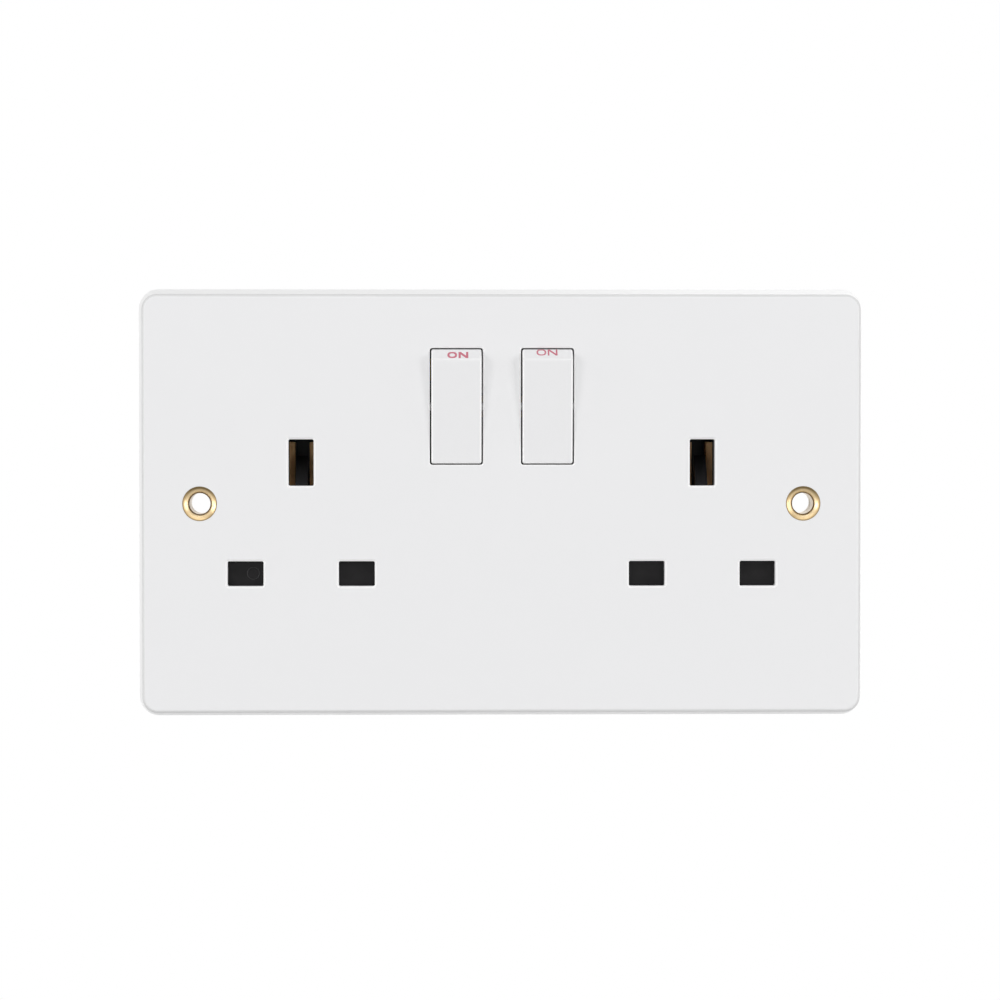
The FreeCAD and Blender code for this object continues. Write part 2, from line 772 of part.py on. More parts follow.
def inner_cover():
    """The insulating cover: pin apertures, ramp slots, spring grooves and rocker windows."""
    sheet = housing_plan(0, cover_front_y, cover_back_y)
    keeper = trunnion_radius - trunnion_clearance
    pads = []
    cutters = []
    for side in (-1, 1):
        x = side * rocker_x
        cutters.append(rounded_block(well_width, well_length, well_corner_radius, cover_front_y,
                                     cover_back_y, x, rocker_height))
        for s in (-1, 1):
            edge = x + s * (well_width / 2 + skirt_wall / 2)
            pads.append(box(edge - skirt_wall / 2, edge + skirt_wall / 2,
                            rocker_pivot_y + trunnion_radius + trunnion_clearance, cover_front_y,
                            rocker_height - keeper, rocker_height + keeper))
        x = side * socket_x
        for pin in (-1, 1):
            cutters.append(rounded_block(line_slot_width, line_slot_height, slot_corner_radius,
                                         cover_front_y, cover_back_y, x + pin * pin_pitch / 2, line_z))
        cutters.append(rounded_block(earth_slot_width, earth_slot_height, slot_corner_radius,
                                     cover_front_y, cover_back_y, x, earth_height))
        half_ramp = ramp_width / 2 + shutter_guide_gap
        low = ramp_foot - ramp_width - shutter_travel - 2 * shutter_guide_gap
        cutters.append(box(x - half_ramp, x + half_ramp, cover_front_y, cover_back_y, low,
                           earth_height))
        groove = shutter_spring_radius + spring_clearance
        cutters.append(box(x - groove, x + groove, cover_front_y, spring_y + groove, spring_low_z,
                           tongue_low_z))
    for x, z in screw_places:
        cutters.append(rod_y(x, z, pillar_radius + cover_play, cover_front_y, cover_back_y))
    return pierced(fused([sheet] + pads), cutters)


def trough(x):
    """The walls of a terminal's trough, as a solid block, and the space inside it."""
    half = terminal_size_x / 2 + trough_gap
    outer = box(x - half - trough_wall, x + half + trough_wall, trough_front_y - trough_wall,
                housing_rear, -housing_half_height, trough_top_z)
    inner = box(x - half, x + half, trough_front_y, housing_rear, -housing_half_height,
                trough_top_z - trough_wall)
    half_tail = tail_width / 2 + tail_gap
    tail_way = box(x - half_tail, x + half_tail, tail_front_y - tail_gap,
                   terminal_front + tail_gap, trough_top_z - trough_wall, trough_top_z)
    return outer, [inner, tail_way]


def ledges(x):
    """The two small ledges under a terminal block."""
    half = terminal_size_x / 2 + trough_gap
    inner = wire_bore_radius + trough_gap
    top = terminal_low_z
    return [box(x + min(s * inner, s * half), x + max(s * inner, s * half), trough_front_y,
                terminal_rear_y, top - ledge, top) for s in (-1, 1)]


def supports():
    """The posts and walls on the housing's floor that carry the bars, strips and clips."""
    posts = []
    half_bar = bar_width / 2
    for x in (-socket_x + pin_pitch / 4, -pin_pitch, pin_pitch):
        posts.append((x - half_bar, x + half_bar, neutral_bar_height - half_bar / 2,
                      neutral_bar_height + half_bar / 2, bar_back_y))
    for x in (-rocker_x, rocker_x):
        posts.append((x - half_bar, x + half_bar, rocker_height - half_bar / 2,
                      rocker_height + half_bar / 2, live_bar_back_y))
    for side in (-1, 1):
        x = side * rocker_x * 2
        posts.append((x - half_bar, x + half_bar, contact_z - half_bar / 2, contact_z + half_bar / 2,
                      load_back_y))
        for pin in (-1, 1):
            x = side * socket_x + pin * pin_pitch / 2
            half = jaw_width / 2
            posts.append((x - half, x + half, line_z - half_bar / 2, line_z + half_bar / 2,
                          bar_back_y + rivet_head_height))
    return [box(x0, x1, y0, floor_y, z0, z1) for x0, x1, z0, z1, y0 in posts]


def clip_walls():
    """The walls above and below each line clip, the upper one open for the bar's leg."""
    walls = []
    for side in (-1, 1):
        for pin, width in ((-1, bar_width), (1, load_strip_width)):
            x = side * socket_x + pin * pin_pitch / 2
            half = jaw_width / 2 + rib_thickness
            for s in (-1, 1):
                z = line_z + s * (jaw_mouth / 2 + jaw_thickness + rib_thickness)
                wall = box(x - half, x + half, strip_back_y, floor_y, z - rib_thickness / 2,
                           z + rib_thickness / 2)
                if s > 0:
                    leg_x = beside_bay(x, width)
                    half_leg = width / 2 + cover_play
                    wall = wall.cut(box(leg_x - half_leg, leg_x + half_leg, bar_front_y - cover_play,
                                        floor_y, z - rib_thickness, z + rib_thickness))
                walls.append(wall)
    return walls


def rear_housing():
    """The deep tray behind the plate, with three troughs that are open to the back and below."""
    outside = housing_plan(0, cover_back_y, housing_rear)
    outside = outside.makeFillet(housing_edge_radius, edges_in_plane(outside, housing_rear))
    tray = outside.cut(housing_plan(-housing_wall, cover_back_y, floor_y))
    pieces = [tray] + supports() + clip_walls()
    pieces += [rod_y(x, z, screw_boss_radius, cover_back_y, housing_rear).common(outside)
               for x, z in screw_places]
    cutters = []
    for x in (-terminal_pitch, 0, terminal_pitch):
        outer, inner = trough(x)
        pieces.append(outer.common(outside))
        cutters += inner
    for x, z in screw_places:
        cutters.append(rod_y(x, z, screw_radius + cover_play, cover_back_y, housing_rear))
        cutters.append(rod_y(x, z, screw_head_radius + spring_clearance, screw_seat, housing_rear))
    half_strip = strip_width / 2 + cover_play
    for side in (-1, 1):
        x0 = side * (lug_x - housing_wall)
        x1 = side * lug_x
        cutters.append(box(min(x0, x1), max(x0, x1), cover_back_y, strip_back_y + cover_play,
                           -half_strip, half_strip))
    body = pierced(fused(pieces), cutters)
    rests = []
    for x in (-terminal_pitch, 0, terminal_pitch):
        rests += ledges(x)
    return fused([body] + rests)


def tail(x, from_y, from_z, thickness):
    """A tail that folds forward or back from a bar's edge and runs down a terminal's front."""
    half = tail_width / 2
    bottom = terminal_low_z + stud_radius * 2
    middle_y = terminal_front - thickness / 2
    points = [(from_y, from_z + thickness / 2), (middle_y, from_z + thickness / 2), (middle_y, bottom)]
    return folded(points, thickness, x - half, x + half)


def stud_hole(x):
    """The hole in a tail for its terminal's stud."""
    return rod_y(x, stud_height_z(), stud_radius + rivet_fit, trough_front_y, terminal_front)


def stud_height_z():
    """The height of the studs that join the terminals to their tails."""
    return (terminal_top + terminal_low_z) / 2


def earth_strip():
    """The brass strip from eyelet to eyelet, with the earth terminal's tail."""
    half = strip_width / 2
    bar = box(-fixing_x, fixing_x, strip_front_y, strip_back_y, -half, half)
    eye = eyelet_roll_radius + strip_thickness
    eyes = [rod_y(side * fixing_x, 0, eye, strip_front_y, strip_back_y) for side in (-1, 1)]
    cutters = [rod_y(side * fixing_x, 0, barrel_radius + rivet_fit, strip_front_y, strip_back_y)
               for side in (-1, 1)]
    cutters += [rod_y(side * socket_x, 0, rivet_radius, strip_front_y, strip_back_y) for side in (-1, 1)]
    cutters.append(stud_hole(0))
    strap = tail(0, strip_front_y, -half, strip_thickness)
    return pierced(fused([bar, strap] + eyes), cutters)


def earth_jaws(side):
    """The earth pin's clip: two leaves on a web, with a tab on the back of the earth strip."""
    x = side * socket_x
    low = earth_height - earth_pin_height / 2 - earth_web_gap
    high = earth_height + earth_pin_height / 2
    thickness = jaw_thickness
    throat = earth_jaw_throat / 2 + thickness / 2
    mouth = earth_jaw_mouth / 2 + thickness / 2
    deep = earth_jaw_depth
    root = earth_pin_width / 2 + thickness
    leaves = []
    for s in (-1, 1):
        line = [(x + s * mouth, strip_back_y + thickness / 2),
                (x + s * throat, strip_back_y + earth_jaw_flare),
                (x + s * throat, strip_back_y + deep / 2), (x + s * root, strip_back_y + deep)]
        leaves.append(section(thickened(line, thickness), low - thickness, high))
    half = root + thickness / 2
    web = box(x - half, x + half, strip_back_y, strip_back_y + deep, low - thickness, low)
    tab = box(x - half, x + half, strip_back_y, strip_back_y + thickness, strip_low_z, low)
    hole = rod_y(x, 0, rivet_radius, strip_back_y, strip_back_y + thickness)
    return pierced(fused(leaves + [web, tab]), [hole])


def line_jaws(x):
    """A line or neutral clip: two leaves that meet the pin's flats, on a base at the back."""
    half = jaw_width / 2
    throat = jaw_throat / 2 + jaw_thickness / 2
    mouth = jaw_mouth / 2 + jaw_thickness / 2
    depth = jaw_base_y - strip_back_y
    base_middle = jaw_base_y + jaw_thickness / 2
    root = line_pin_height / 2 + jaw_thickness
    line = [(strip_back_y, mouth), (strip_back_y + depth / 5, throat),
            (strip_back_y + depth / 2, throat), (base_middle, root)]
    line += [(y, -z) for y, z in line[::-1]]
    clip = folded([(y, line_z + z) for y, z in line], jaw_thickness, x - half, x + half)
    hole = rod_y(x, line_z, rivet_radius, jaw_base_y, bar_front_y)
    return pierced(clip, [hole])


def rivet(x, z, front, back):
    """A rivet along Y that holds the metal between two depths."""
    shank = rivet_radius - rivet_fit
    points = [(0, front - rivet_head_height), (rivet_head_radius, front - rivet_head_height),
              (rivet_head_radius, front), (shank, front), (shank, back), (rivet_head_radius, back),
              (rivet_head_radius, back + rivet_head_height), (0, back + rivet_head_height)]
    return turned(points, x, z)


def jaw_rivets():
    """The six rivets of the clips."""
    rivets = []
    for side in (-1, 1):
        rivets.append(rivet(side * socket_x, 0, strip_front_y, strip_back_y + jaw_thickness))
        for pin in (-1, 1):
            rivets.append(rivet(side * socket_x + pin * pin_pitch / 2, line_z, jaw_base_y, bar_back_y))
    return Part.makeCompound(rivets)


def beside_bay(x, width):
    """The place of a leg that goes down near x and has to pass inside the lug's bay."""
    limit = lug_x - housing_wall - cover_play - width / 2
    return max(-limit, min(limit, x))


def neutral_bar():
    """The bar behind the neutral clips, with a leg to each and a tail to the terminal."""
    xs = [side * socket_x - pin_pitch / 2 for side in (-1, 1)]
    legs = [beside_bay(x, bar_width) for x in xs]
    run = ribbon([(legs[0], line_z), (legs[0], neutral_bar_height), (legs[1], neutral_bar_height),
                  (legs[1], line_z)], bar_width, bar_front_y, bar_back_y)
    strap = tail(-terminal_pitch, bar_back_y, neutral_low_z, bar_thickness)
    cutters = [rod_y(x, line_z, rivet_radius, bar_front_y, bar_back_y) for x in xs]
    cutters.append(stud_hole(-terminal_pitch))
    return pierced(fused([run, strap]), cutters)


def cradle_ears(side):
    """The two ears that hold an arm's cross pin in notches that open forward."""
    ears = []
    notch_radius = arm_pin_radius + arm_pin_clearance
    tip_y = arm_pivot_y - notch_radius / 2
    half_h = live_bar_width / 2
    for s in (-1, 1):
        x0 = side * rocker_x + s * (arm_width / 2 + arm_side_gap)
        x1 = x0 + s * cradle_ear
        low, high = min(x0, x1), max(x0, x1)
        ear = box(low, high, tip_y, live_bar_back_y, rocker_height - half_h, rocker_height + half_h)
        notch = rod_x(arm_pivot_y, rocker_height, notch_radius, low, high)
        way_in = box(low, high, tip_y, arm_pivot_y, rocker_height - notch_radius,
                     rocker_height + notch_radius)
        ears.append(pierced(ear, [notch, way_in]))
    return ears


def live_bar():
    """The bar with the two cradles and the live terminal's tail."""
    half_h = live_bar_width / 2
    low = rocker_height - half_h
    left_end = -rocker_x - arm_width / 2 - arm_side_gap - cradle_ear
    right_end = max(-left_end, terminal_pitch + tail_width / 2)
    bar = box(left_end, right_end, live_bar_front_y, live_bar_back_y, low, rocker_height + half_h)
    strap = tail(terminal_pitch, live_bar_back_y, low, bar_thickness)
    pieces = [bar, strap] + cradle_ears(-1) + cradle_ears(1)
    return pierced(fused(pieces), [stud_hole(terminal_pitch)])


def load_strip(side):
    """The strip from a fixed contact to the live clip of its socket."""
    jaw_x = side * socket_x + pin_pitch / 2
    start = (side * rocker_x, contact_z)
    bend_z = (neutral_low_z + line_z + jaw_mouth / 2) / 2
    half = load_strip_width / 2
    down_x = beside_bay(jaw_x, load_strip_width)
    slant = 2 * screw_boss_radius + half
    shoulder_x = min(down_x, screw_x - slant) if side > 0 else down_x
    route = [start, (shoulder_x, contact_z)]
    if shoulder_x < down_x:
        route.append((down_x, contact_z - slant))
    route.append((down_x, bend_z + half))
    run = ribbon(route, load_strip_width, load_front_y, load_back_y)
    middle_y = (load_front_y + load_back_y) / 2
    seat_y = (bar_front_y + bar_back_y) / 2
    step = [(middle_y, bend_z + half), (middle_y, bend_z), (seat_y, bend_z), (seat_y, line_z - half)]
    leg = folded(step, bar_thickness, down_x - half, down_x + half)
    foot = box(min(down_x, jaw_x) - half, jaw_x + half, bar_front_y, bar_back_y, line_z - half,
               line_z + half)
    cutters = [rod_y(side * rocker_x, contact_z, rivet_radius, load_front_y, load_back_y),
               rod_y(jaw_x, line_z, rivet_radius, bar_front_y, bar_back_y)]
    return pierced(fused([run, leg, foot]), cutters)


def terminal(x):
    """A terminal block: the wire's bore, the clamp screw's hole and the stud for the tail."""
    half = terminal_size_x / 2
    block = box(x - half, x + half, terminal_front, terminal_rear_y, terminal_low_z, terminal_top)
    block = block.makeChamfer(terminal_edge, edges_along(block, ALONG_Y))
    stud = rod_y(x, stud_height_z(), stud_radius, terminal_front - stud_height, terminal_front)
    bore = rod_z(x, wire_bore_y, wire_bore_radius, terminal_low_z, terminal_top)
    thread = rod_y(x, stud_height_z(), terminal_screw_radius + terminal_screw_fit, wire_bore_y,
                   terminal_rear_y)
    return pierced(fused([block, stud]), [bore, thread])


def terminal_screw(x):
    """A slotted clamp screw, backed out clear of the wire's bore."""
    z = stud_height_z()
    tip = wire_bore_y + wire_bore_radius + terminal_screw_backoff
    seat = terminal_rear_y + terminal_screw_backoff
    top = seat + terminal_screw_head_height
    shank = rod_y(x, z, terminal_screw_radius, tip, seat)
    head = rod_y(x, z, terminal_screw_head_radius, seat, top)
    slot = box(x - terminal_screw_head_radius, x + terminal_screw_head_radius, top - screw_slot_depth,
               top, z - screw_slot / 2, z + screw_slot / 2)
    return fused([shank, head]).cut(slot)


def housing_screws():
    """The cross-head screws that go through the housing's bosses into the plate's pillars."""
    screws = []
    head_top = screw_seat + screw_head_height
    arm = screw_head_radius / 2
    for x, z in screw_places:
        shank = rod_y(x, z, screw_radius, screw_seat - screw_reach, screw_seat)
        head = rod_y(x, z, screw_head_radius, screw_seat, head_top)
        across = box(x - arm, x + arm, head_top - screw_slot_depth, head_top, z - screw_slot / 2,
                     z + screw_slot / 2)
        down = box(x - screw_slot / 2, x + screw_slot / 2, head_top - screw_slot_depth, head_top,
                   z - arm, z + arm)
        screws.append(pierced(fused([shank, head]), [across, down]))
    return Part.makeCompound(screws)


def build():
    """Every node of the socket by name."""
    nodes = {
        "front_plate": front_plate(),
        "inner_cover": inner_cover(),
        "rear_housing": rear_housing(),
        "earth_strip": earth_strip(),
        "neutral_bar": neutral_bar(),
        "live_bar": live_bar(),
        "jaw_rivets": jaw_rivets(),
        "housing_screws": housing_screws(),
    }
    for name, side in (("left", -1), ("right", 1)):
        x = side * socket_x
        nodes[name + "_rocker"] = rocker(side)
        nodes[name + "_plunger"] = plunger(side)
        nodes[name + "_plunger_spring"] = plunger_spring(side)
        nodes[name + "_contact_arm"] = contact_arm(side)
        nodes[name + "_moving_contact"] = moving_contact(side)
        nodes[name + "_fixed_contact"] = fixed_contact(side)
        nodes[name + "_eyelet"] = eyelet(side)
        nodes[name + "_shutter"] = shutter(side)
        nodes[name + "_shutter_spring"] = shutter_spring(side)
        nodes[name + "_earth_jaws"] = earth_jaws(side)
        nodes[name + "_neutral_jaws"] = line_jaws(x - pin_pitch / 2)
        nodes[name + "_live_jaws"] = line_jaws(x + pin_pitch / 2)
        nodes[name + "_load_strip"] = load_strip(side)
    for name, place in (("neutral", -1), ("earth", 0), ("live", 1)):
        nodes[name + "_terminal"] = terminal(place * terminal_pitch)
        nodes[name + "_terminal_screw"] = terminal_screw(place * terminal_pitch)
    return nodes


os.makedirs("parts", exist_ok=True)
for node_name, node_shape in build().items():
    node_shape.exportStep("parts/" + node_name + ".step")
    print(node_name, len(node_shape.Solids), node_shape.isValid(), round(node_shape.Volume, 2))
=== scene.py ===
"""The looks of a twin switched socket: white plate, two rockers, brass eyelets, dark housing.

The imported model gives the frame, in metres: X to the right, Z up, the face looks along -Y.
"""
import json
import logging
import math
from dataclasses import dataclass
from enum import Enum
from typing import Iterable, Sequence

import bmesh
import bpy
from mathutils import Matrix, Vector


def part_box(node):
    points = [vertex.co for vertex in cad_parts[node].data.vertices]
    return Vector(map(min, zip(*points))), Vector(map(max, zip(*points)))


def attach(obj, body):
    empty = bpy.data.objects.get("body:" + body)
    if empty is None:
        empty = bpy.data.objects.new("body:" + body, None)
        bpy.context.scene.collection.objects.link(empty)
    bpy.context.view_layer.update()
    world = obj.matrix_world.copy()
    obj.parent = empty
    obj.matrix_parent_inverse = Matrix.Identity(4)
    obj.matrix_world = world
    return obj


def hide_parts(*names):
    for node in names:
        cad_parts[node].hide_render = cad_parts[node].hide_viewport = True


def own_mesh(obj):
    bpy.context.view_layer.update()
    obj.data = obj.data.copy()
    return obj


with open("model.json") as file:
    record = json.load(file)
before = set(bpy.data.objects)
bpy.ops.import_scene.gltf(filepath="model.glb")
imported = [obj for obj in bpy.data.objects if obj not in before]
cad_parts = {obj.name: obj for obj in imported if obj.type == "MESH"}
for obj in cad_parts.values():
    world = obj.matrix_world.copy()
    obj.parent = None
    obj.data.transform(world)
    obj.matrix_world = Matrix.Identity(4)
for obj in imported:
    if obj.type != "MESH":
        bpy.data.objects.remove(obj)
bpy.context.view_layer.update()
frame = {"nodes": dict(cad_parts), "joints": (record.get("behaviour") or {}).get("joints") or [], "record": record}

MM = 0.001
log = logging.getLogger("socket")

Colour = tuple[float, float, float]
Feed = bpy.types.NodeSocket | str | float | int | bool


def srgb(red: int, green: int, blue: int) -> Colour:
    """Turns screen values into the linear colour that a shader takes.

    Args:
        red: Red from 0 to 255.
        green: Green from 0 to 255.
        blue: Blue from 0 to 255.

    Returns:
        The linear colour.
    """
    def linear(value: float) -> float:
        """One channel, by the usual curve."""
        return value / 12.92 if value <= 0.04045 else ((value + 0.055) / 1.055) ** 2.4

    return linear(red / 255), linear(green / 255), linear(blue / 255)


class NodeSheet:
    """A material's node tree with short ways to add nodes and links."""

    def __init__(self, name: str) -> None:
        """Makes an empty material whose output waits for a shader.

        Args:
            name: The material's name.
        """
        self.material = bpy.data.materials.new(name)
        self.material.use_nodes = True
        self.tree = self.material.node_tree
        self.tree.nodes.clear()
        self.output = self.tree.nodes.new("ShaderNodeOutputMaterial")
        self.place = self.add("ShaderNodeTexCoord").outputs["Object"]

    def add(self, kind: str, **settings: object) -> bpy.types.Node:
        """Adds a node and sets its properties.

        Args:
            kind: The node's type.
            settings: Property names and values.

        Returns:
            The new node.
        """
        node = self.tree.nodes.new(kind)
        for key, value in settings.items():
            setattr(node, key, value)
        return node

    def link(self, source: bpy.types.NodeSocket, target: bpy.types.NodeSocket) -> None:
        """Joins an output to an input."""
        self.tree.links.new(source, target)

    def mapped(self, scale: Sequence[float], centre: Sequence[float] = (0, 0, 0)) -> bpy.types.NodeSocket:
        """Object coordinates, centred on a point and scaled.

        Args:
            scale: The factor on each axis, per metre.
            centre: The point that becomes the pattern's origin, in metres.

        Returns:
            The scaled vector.
        """
        node = self.add("ShaderNodeMapping")
        node.inputs["Scale"].default_value = scale
        node.inputs["Location"].default_value = [-c * s for c, s in zip(centre, scale)]
        self.link(self.place, node.inputs["Vector"])
        return node.outputs["Vector"]

    def noise(self, vector: bpy.types.NodeSocket, detail: float = 3.0) -> bpy.types.NodeSocket:
        """Noise of unit scale on a vector.

        Args:
            vector: Where the pattern is read.
            detail: How many finer layers it has.

        Returns:
            The noise value, about 0.3 to 0.7.
        """
        node = self.add("ShaderNodeTexNoise")
        node.inputs["Scale"].default_value = 1.0
        node.inputs["Detail"].default_value = detail
        self.link(vector, node.inputs["Vector"])
        return node.outputs["Fac"]

    def ranged(self, value: bpy.types.NodeSocket, low: float, high: float, to_low: float,
               to_high: float) -> bpy.types.NodeSocket:
        """Maps a value from one range to another.

        Args:
            value: What is mapped.
            low: The range's start.
            high: The range's end.
            to_low: What the start becomes.
            to_high: What the end becomes.

        Returns:
            The mapped value.
        """
        node = self.add("ShaderNodeMapRange")
        ends = {"From Min": low, "From Max": high, "To Min": to_low, "To Max": to_high}
        for name, number in ends.items():
            node.inputs[name].default_value = number
        self.link(value, node.inputs["Value"])
        return node.outputs["Result"]

    def ramp(self, value: bpy.types.NodeSocket,
             stops: Iterable[tuple[float, Colour]]) -> bpy.types.NodeSocket:
        """Turns a value into a colour between stops.

        Args:
            value: The place along the ramp.
            stops: Pairs of place and colour.

        Returns:
            The colour.
        """
        node = self.add("ShaderNodeValToRGB")
        elements = node.color_ramp.elements
        while len(elements) > 1:
            elements.remove(elements[-1])
        for number, (at, colour) in enumerate(stops):
            element = elements[0] if number == 0 else elements.new(at)
            element.position = at
            element.color = (*colour, 1.0)
        self.link(value, node.inputs["Fac"])
        return node.outputs["Color"]

    def maths(self, operation: str, first: bpy.types.NodeSocket,
              second: bpy.types.NodeSocket | float = 0.0) -> bpy.types.NodeSocket:
        """One step of arithmetic.

        Args:
            operation: The step's name.
            first: The first value.
            second: The second value, for the steps that take two.

        Returns:
            The result.
        """
        node = self.add("ShaderNodeMath", operation=operation)
        self.link(first, node.inputs[0])
        if isinstance(second, bpy.types.NodeSocket):
            self.link(second, node.inputs[1])
        else:
            node.inputs[1].default_value = second
        return node.outputs["Value"]

    def parts(self, vector: bpy.types.NodeSocket) -> Sequence[bpy.types.NodeSocket]:
        """A vector's X, Y and Z."""
        node = self.add("ShaderNodeSeparateXYZ")
        self.link(vector, node.inputs["Vector"])
        return tuple(node.outputs)

    def blend(self, share: bpy.types.NodeSocket, under: bpy.types.NodeSocket,
              over: Colour) -> bpy.types.NodeSocket:
        """Lays one colour over another.

        Args:
            share: How much of the upper colour shows.
            under: The lower colour.
            over: The upper colour.

        Returns:
            The mixed colour.
        """
        node = self.add("ShaderNodeMixRGB")
        self.link(share, node.inputs["Fac"])
        self.link(under, node.inputs["Color1"])
        node.inputs["Color2"].default_value = (*over, 1.0)
        return node.outputs["Color"]

    def bump(self, height: bpy.types.NodeSocket, depth: float, under: bpy.types.NodeSocket | None = None,
             strength: float = 1.0) -> bpy.types.NodeSocket:
        """A bumped normal.

        Args:
            height: The pattern, 0 to 1.
            depth: How deep it is, in metres.
            under: A normal that this one is laid on.
            strength: How much of it shows.

        Returns:
            The normal.
        """
        node = self.add("ShaderNodeBump")
        node.inputs["Distance"].default_value = depth
        node.inputs["Strength"].default_value = strength
        self.link(height, node.inputs["Height"])
        if under is not None:
            self.link(under, node.inputs["Normal"])
        return node.outputs["Normal"]

    def shader(self, **values: object) -> bpy.types.Node:
        """Adds the principled shader, sets its inputs and joins it to the output.

        Args:
            values: Input names, with underscores for spaces, and numbers, colours or sockets.

        Returns:
            The shader node.
        """
        node = self.add("ShaderNodeBsdfPrincipled")
        for key, value in values.items():
            target = node.inputs[key.replace("_", " ")]
            if isinstance(value, bpy.types.NodeSocket):
                self.link(value, target)
            elif isinstance(value, tuple):
                target.default_value = (*value, 1.0)
            else:
                target.default_value = value
        self.link(node.outputs["BSDF"], self.output.inputs["Surface"])
        return node


@dataclass(frozen=True)
class Finish:
    """What every finish has: a name and a way to make its material."""

    name: str

    def make(self) -> bpy.types.Material:
        """Builds the material, or returns the one that was built before."""
        known = bpy.data.materials.get(self.name)
        return known if known is not None else self.build()

    def build(self) -> bpy.types.Material:
        """Builds the node tree."""
        raise NotImplementedError


@dataclass(frozen=True)
class Plastic(Finish):
    """Moulded plastic: a faint cloudiness, a fine skin and uneven gloss."""

    colour: Colour
    roughness: float = 0.32
    cloud: float = 0.003
    skin_size: float = 0.35 * MM
    skin_depth: float = 0.0012 * MM
    specular: float = 0.5
    cloud_scale: float = 60.0

    def tint(self, sheet: NodeSheet) -> bpy.types.NodeSocket:
        """The faintly clouded colour.

        Args:
            sheet: The material's tree.

        Returns:
            The colour.
        """
        broad = sheet.noise(sheet.mapped((self.cloud_scale, self.cloud_scale, self.cloud_scale)), 3.0)
        darker = tuple(c * (1 - self.cloud) for c in self.colour)
        lighter = tuple(min(1.0, c * (1 + self.cloud)) for c in self.colour)
        return sheet.ramp(broad, ((0.2, darker), (0.8, lighter)))

    def build(self) -> bpy.types.Material:
        """Builds the node tree."""
        sheet = NodeSheet(self.name)
        colour = self.tint(sheet)
        fine = 1 / self.skin_size
        skin = sheet.noise(sheet.mapped((fine, fine, fine)), 4.0)
        flow = sheet.noise(sheet.mapped((160.0, 160.0, 160.0)), 1.0)
        rough = sheet.ranged(flow, 0.3, 0.7, self.roughness - 0.02, self.roughness + 0.02)
        normal = sheet.bump(skin, self.skin_depth)
        sheet.shader(Base_Color=colour, Roughness=rough, Normal=normal, Specular_IOR_Level=self.specular)
        return sheet.material


@dataclass(frozen=True)
class RockerPlasticWithPaintedHighlights(Plastic):
    """Plastic of the two rockers, with painted highlights along both side edges, the foot and the ridge line, and
    a weaker painted sheen just below the ridge.
    """

    # Colour of the painted highlights along the side edges, the foot and the ridge.
    edge: Colour = (1.0, 1.0, 1.0)
    centre: float = 9.1 * MM
    half_width: float = 5.0 * MM
    foot: float = 8.0 * MM
    ridge: float = 28.95 * MM
    ridge_highlight_band: float = 0.8 * MM
    ridge_highlight_share: float = 0.3
    highlight_band: float = 0.34 * MM

    def tint(self, sheet: NodeSheet) -> bpy.types.NodeSocket:
        """The clouded colour, with the edge's colour painted as highlights in narrow bands.

        Args:
            sheet: The material's tree.

        Returns:
            The colour.
        """
        x, _, z = sheet.parts(sheet.place)
        # Painted highlights: the edge colour in narrow strips along both side edges, the foot and the ridge line,
        # with a weaker painted sheen just below the ridge.
        aside = sheet.maths("ABSOLUTE", sheet.maths("SUBTRACT", sheet.maths("ABSOLUTE", x), self.centre))
        start = self.half_width - self.highlight_band
        sides = sheet.ranged(aside, start, start + self.highlight_band / 3, 0.0, 1.0)
        foot = sheet.ranged(z, self.foot + self.highlight_band * 2 / 3, self.foot + self.highlight_band, 1.0, 0.0)
        under = sheet.ranged(z, self.ridge - self.ridge_highlight_band, self.ridge, 0.0, self.ridge_highlight_share)
        over = sheet.ranged(z, self.ridge, self.ridge + self.highlight_band / 3, 1.0, 0.0)
        ridge = sheet.maths("MULTIPLY", under, over)
        edges = sheet.maths("MAXIMUM", sides, sheet.maths("MAXIMUM", foot, ridge))
        return sheet.blend(edges, super().tint(sheet), self.edge)


@dataclass(frozen=True)
class PlatePlasticWithPaintedLight(Plastic):
    """Plastic of the plate, with painted highlights on the slot bevels and the rim, and a painted shade line on
    the rounding where face and rim meet.
    """

    # edge is the colour of the painted highlights on bevels and rim; line is the colour of the painted shade on
    # the rounding.
    edge: Colour = (1.0, 1.0, 1.0)
    line: Colour = (1.0, 1.0, 1.0)
    half_width: float = 70.0 * MM
    half_height: float = 40.0 * MM
    border: float = 0.5 * MM

    def tint(self, sheet: NodeSheet) -> bpy.types.NodeSocket:
        """The clouded colour, with the edge's colour painted as highlights on bevels and rim and the line's colour
        painted as shade on the rounding.

        Args:
            sheet: The material's tree.

        Returns:
            The colour.
        """
        x, _, z = sheet.parts(sheet.place)
        flat_normal = sheet.add("ShaderNodeNewGeometry").outputs["True Normal"]
        lean = sheet.maths("ABSOLUTE", sheet.parts(flat_normal)[1])
        off_face = sheet.ranged(lean, 0.97, 0.93, 0.0, 1.0)
        off_side = sheet.ranged(lean, 0.3, 0.4, 0.0, 1.0)
        leaning = sheet.maths("MULTIPLY", off_face, off_side)
        upright = sheet.ranged(lean, 0.3, 0.25, 0.0, 1.0)
        inside = sheet.maths("MULTIPLY", *(
            sheet.ranged(sheet.maths("ABSOLUTE", along), half, half + self.border, 1.0, 0.0)
            for along, half in ((x, self.half_width), (z, self.half_height))))
        outside = sheet.ranged(inside, 0.0, 1.0, 1.0, 0.0)
        # Painted highlights on the slot bevels and the rim faces, and painted shade on the outer rounding.
        bevels = sheet.blend(sheet.maths("MULTIPLY", leaning, inside), super().tint(sheet), self.edge)
        lined = sheet.blend(sheet.maths("MULTIPLY", leaning, outside), bevels, self.line)
        return sheet.blend(sheet.maths("MULTIPLY", upright, outside), lined, self.edge)


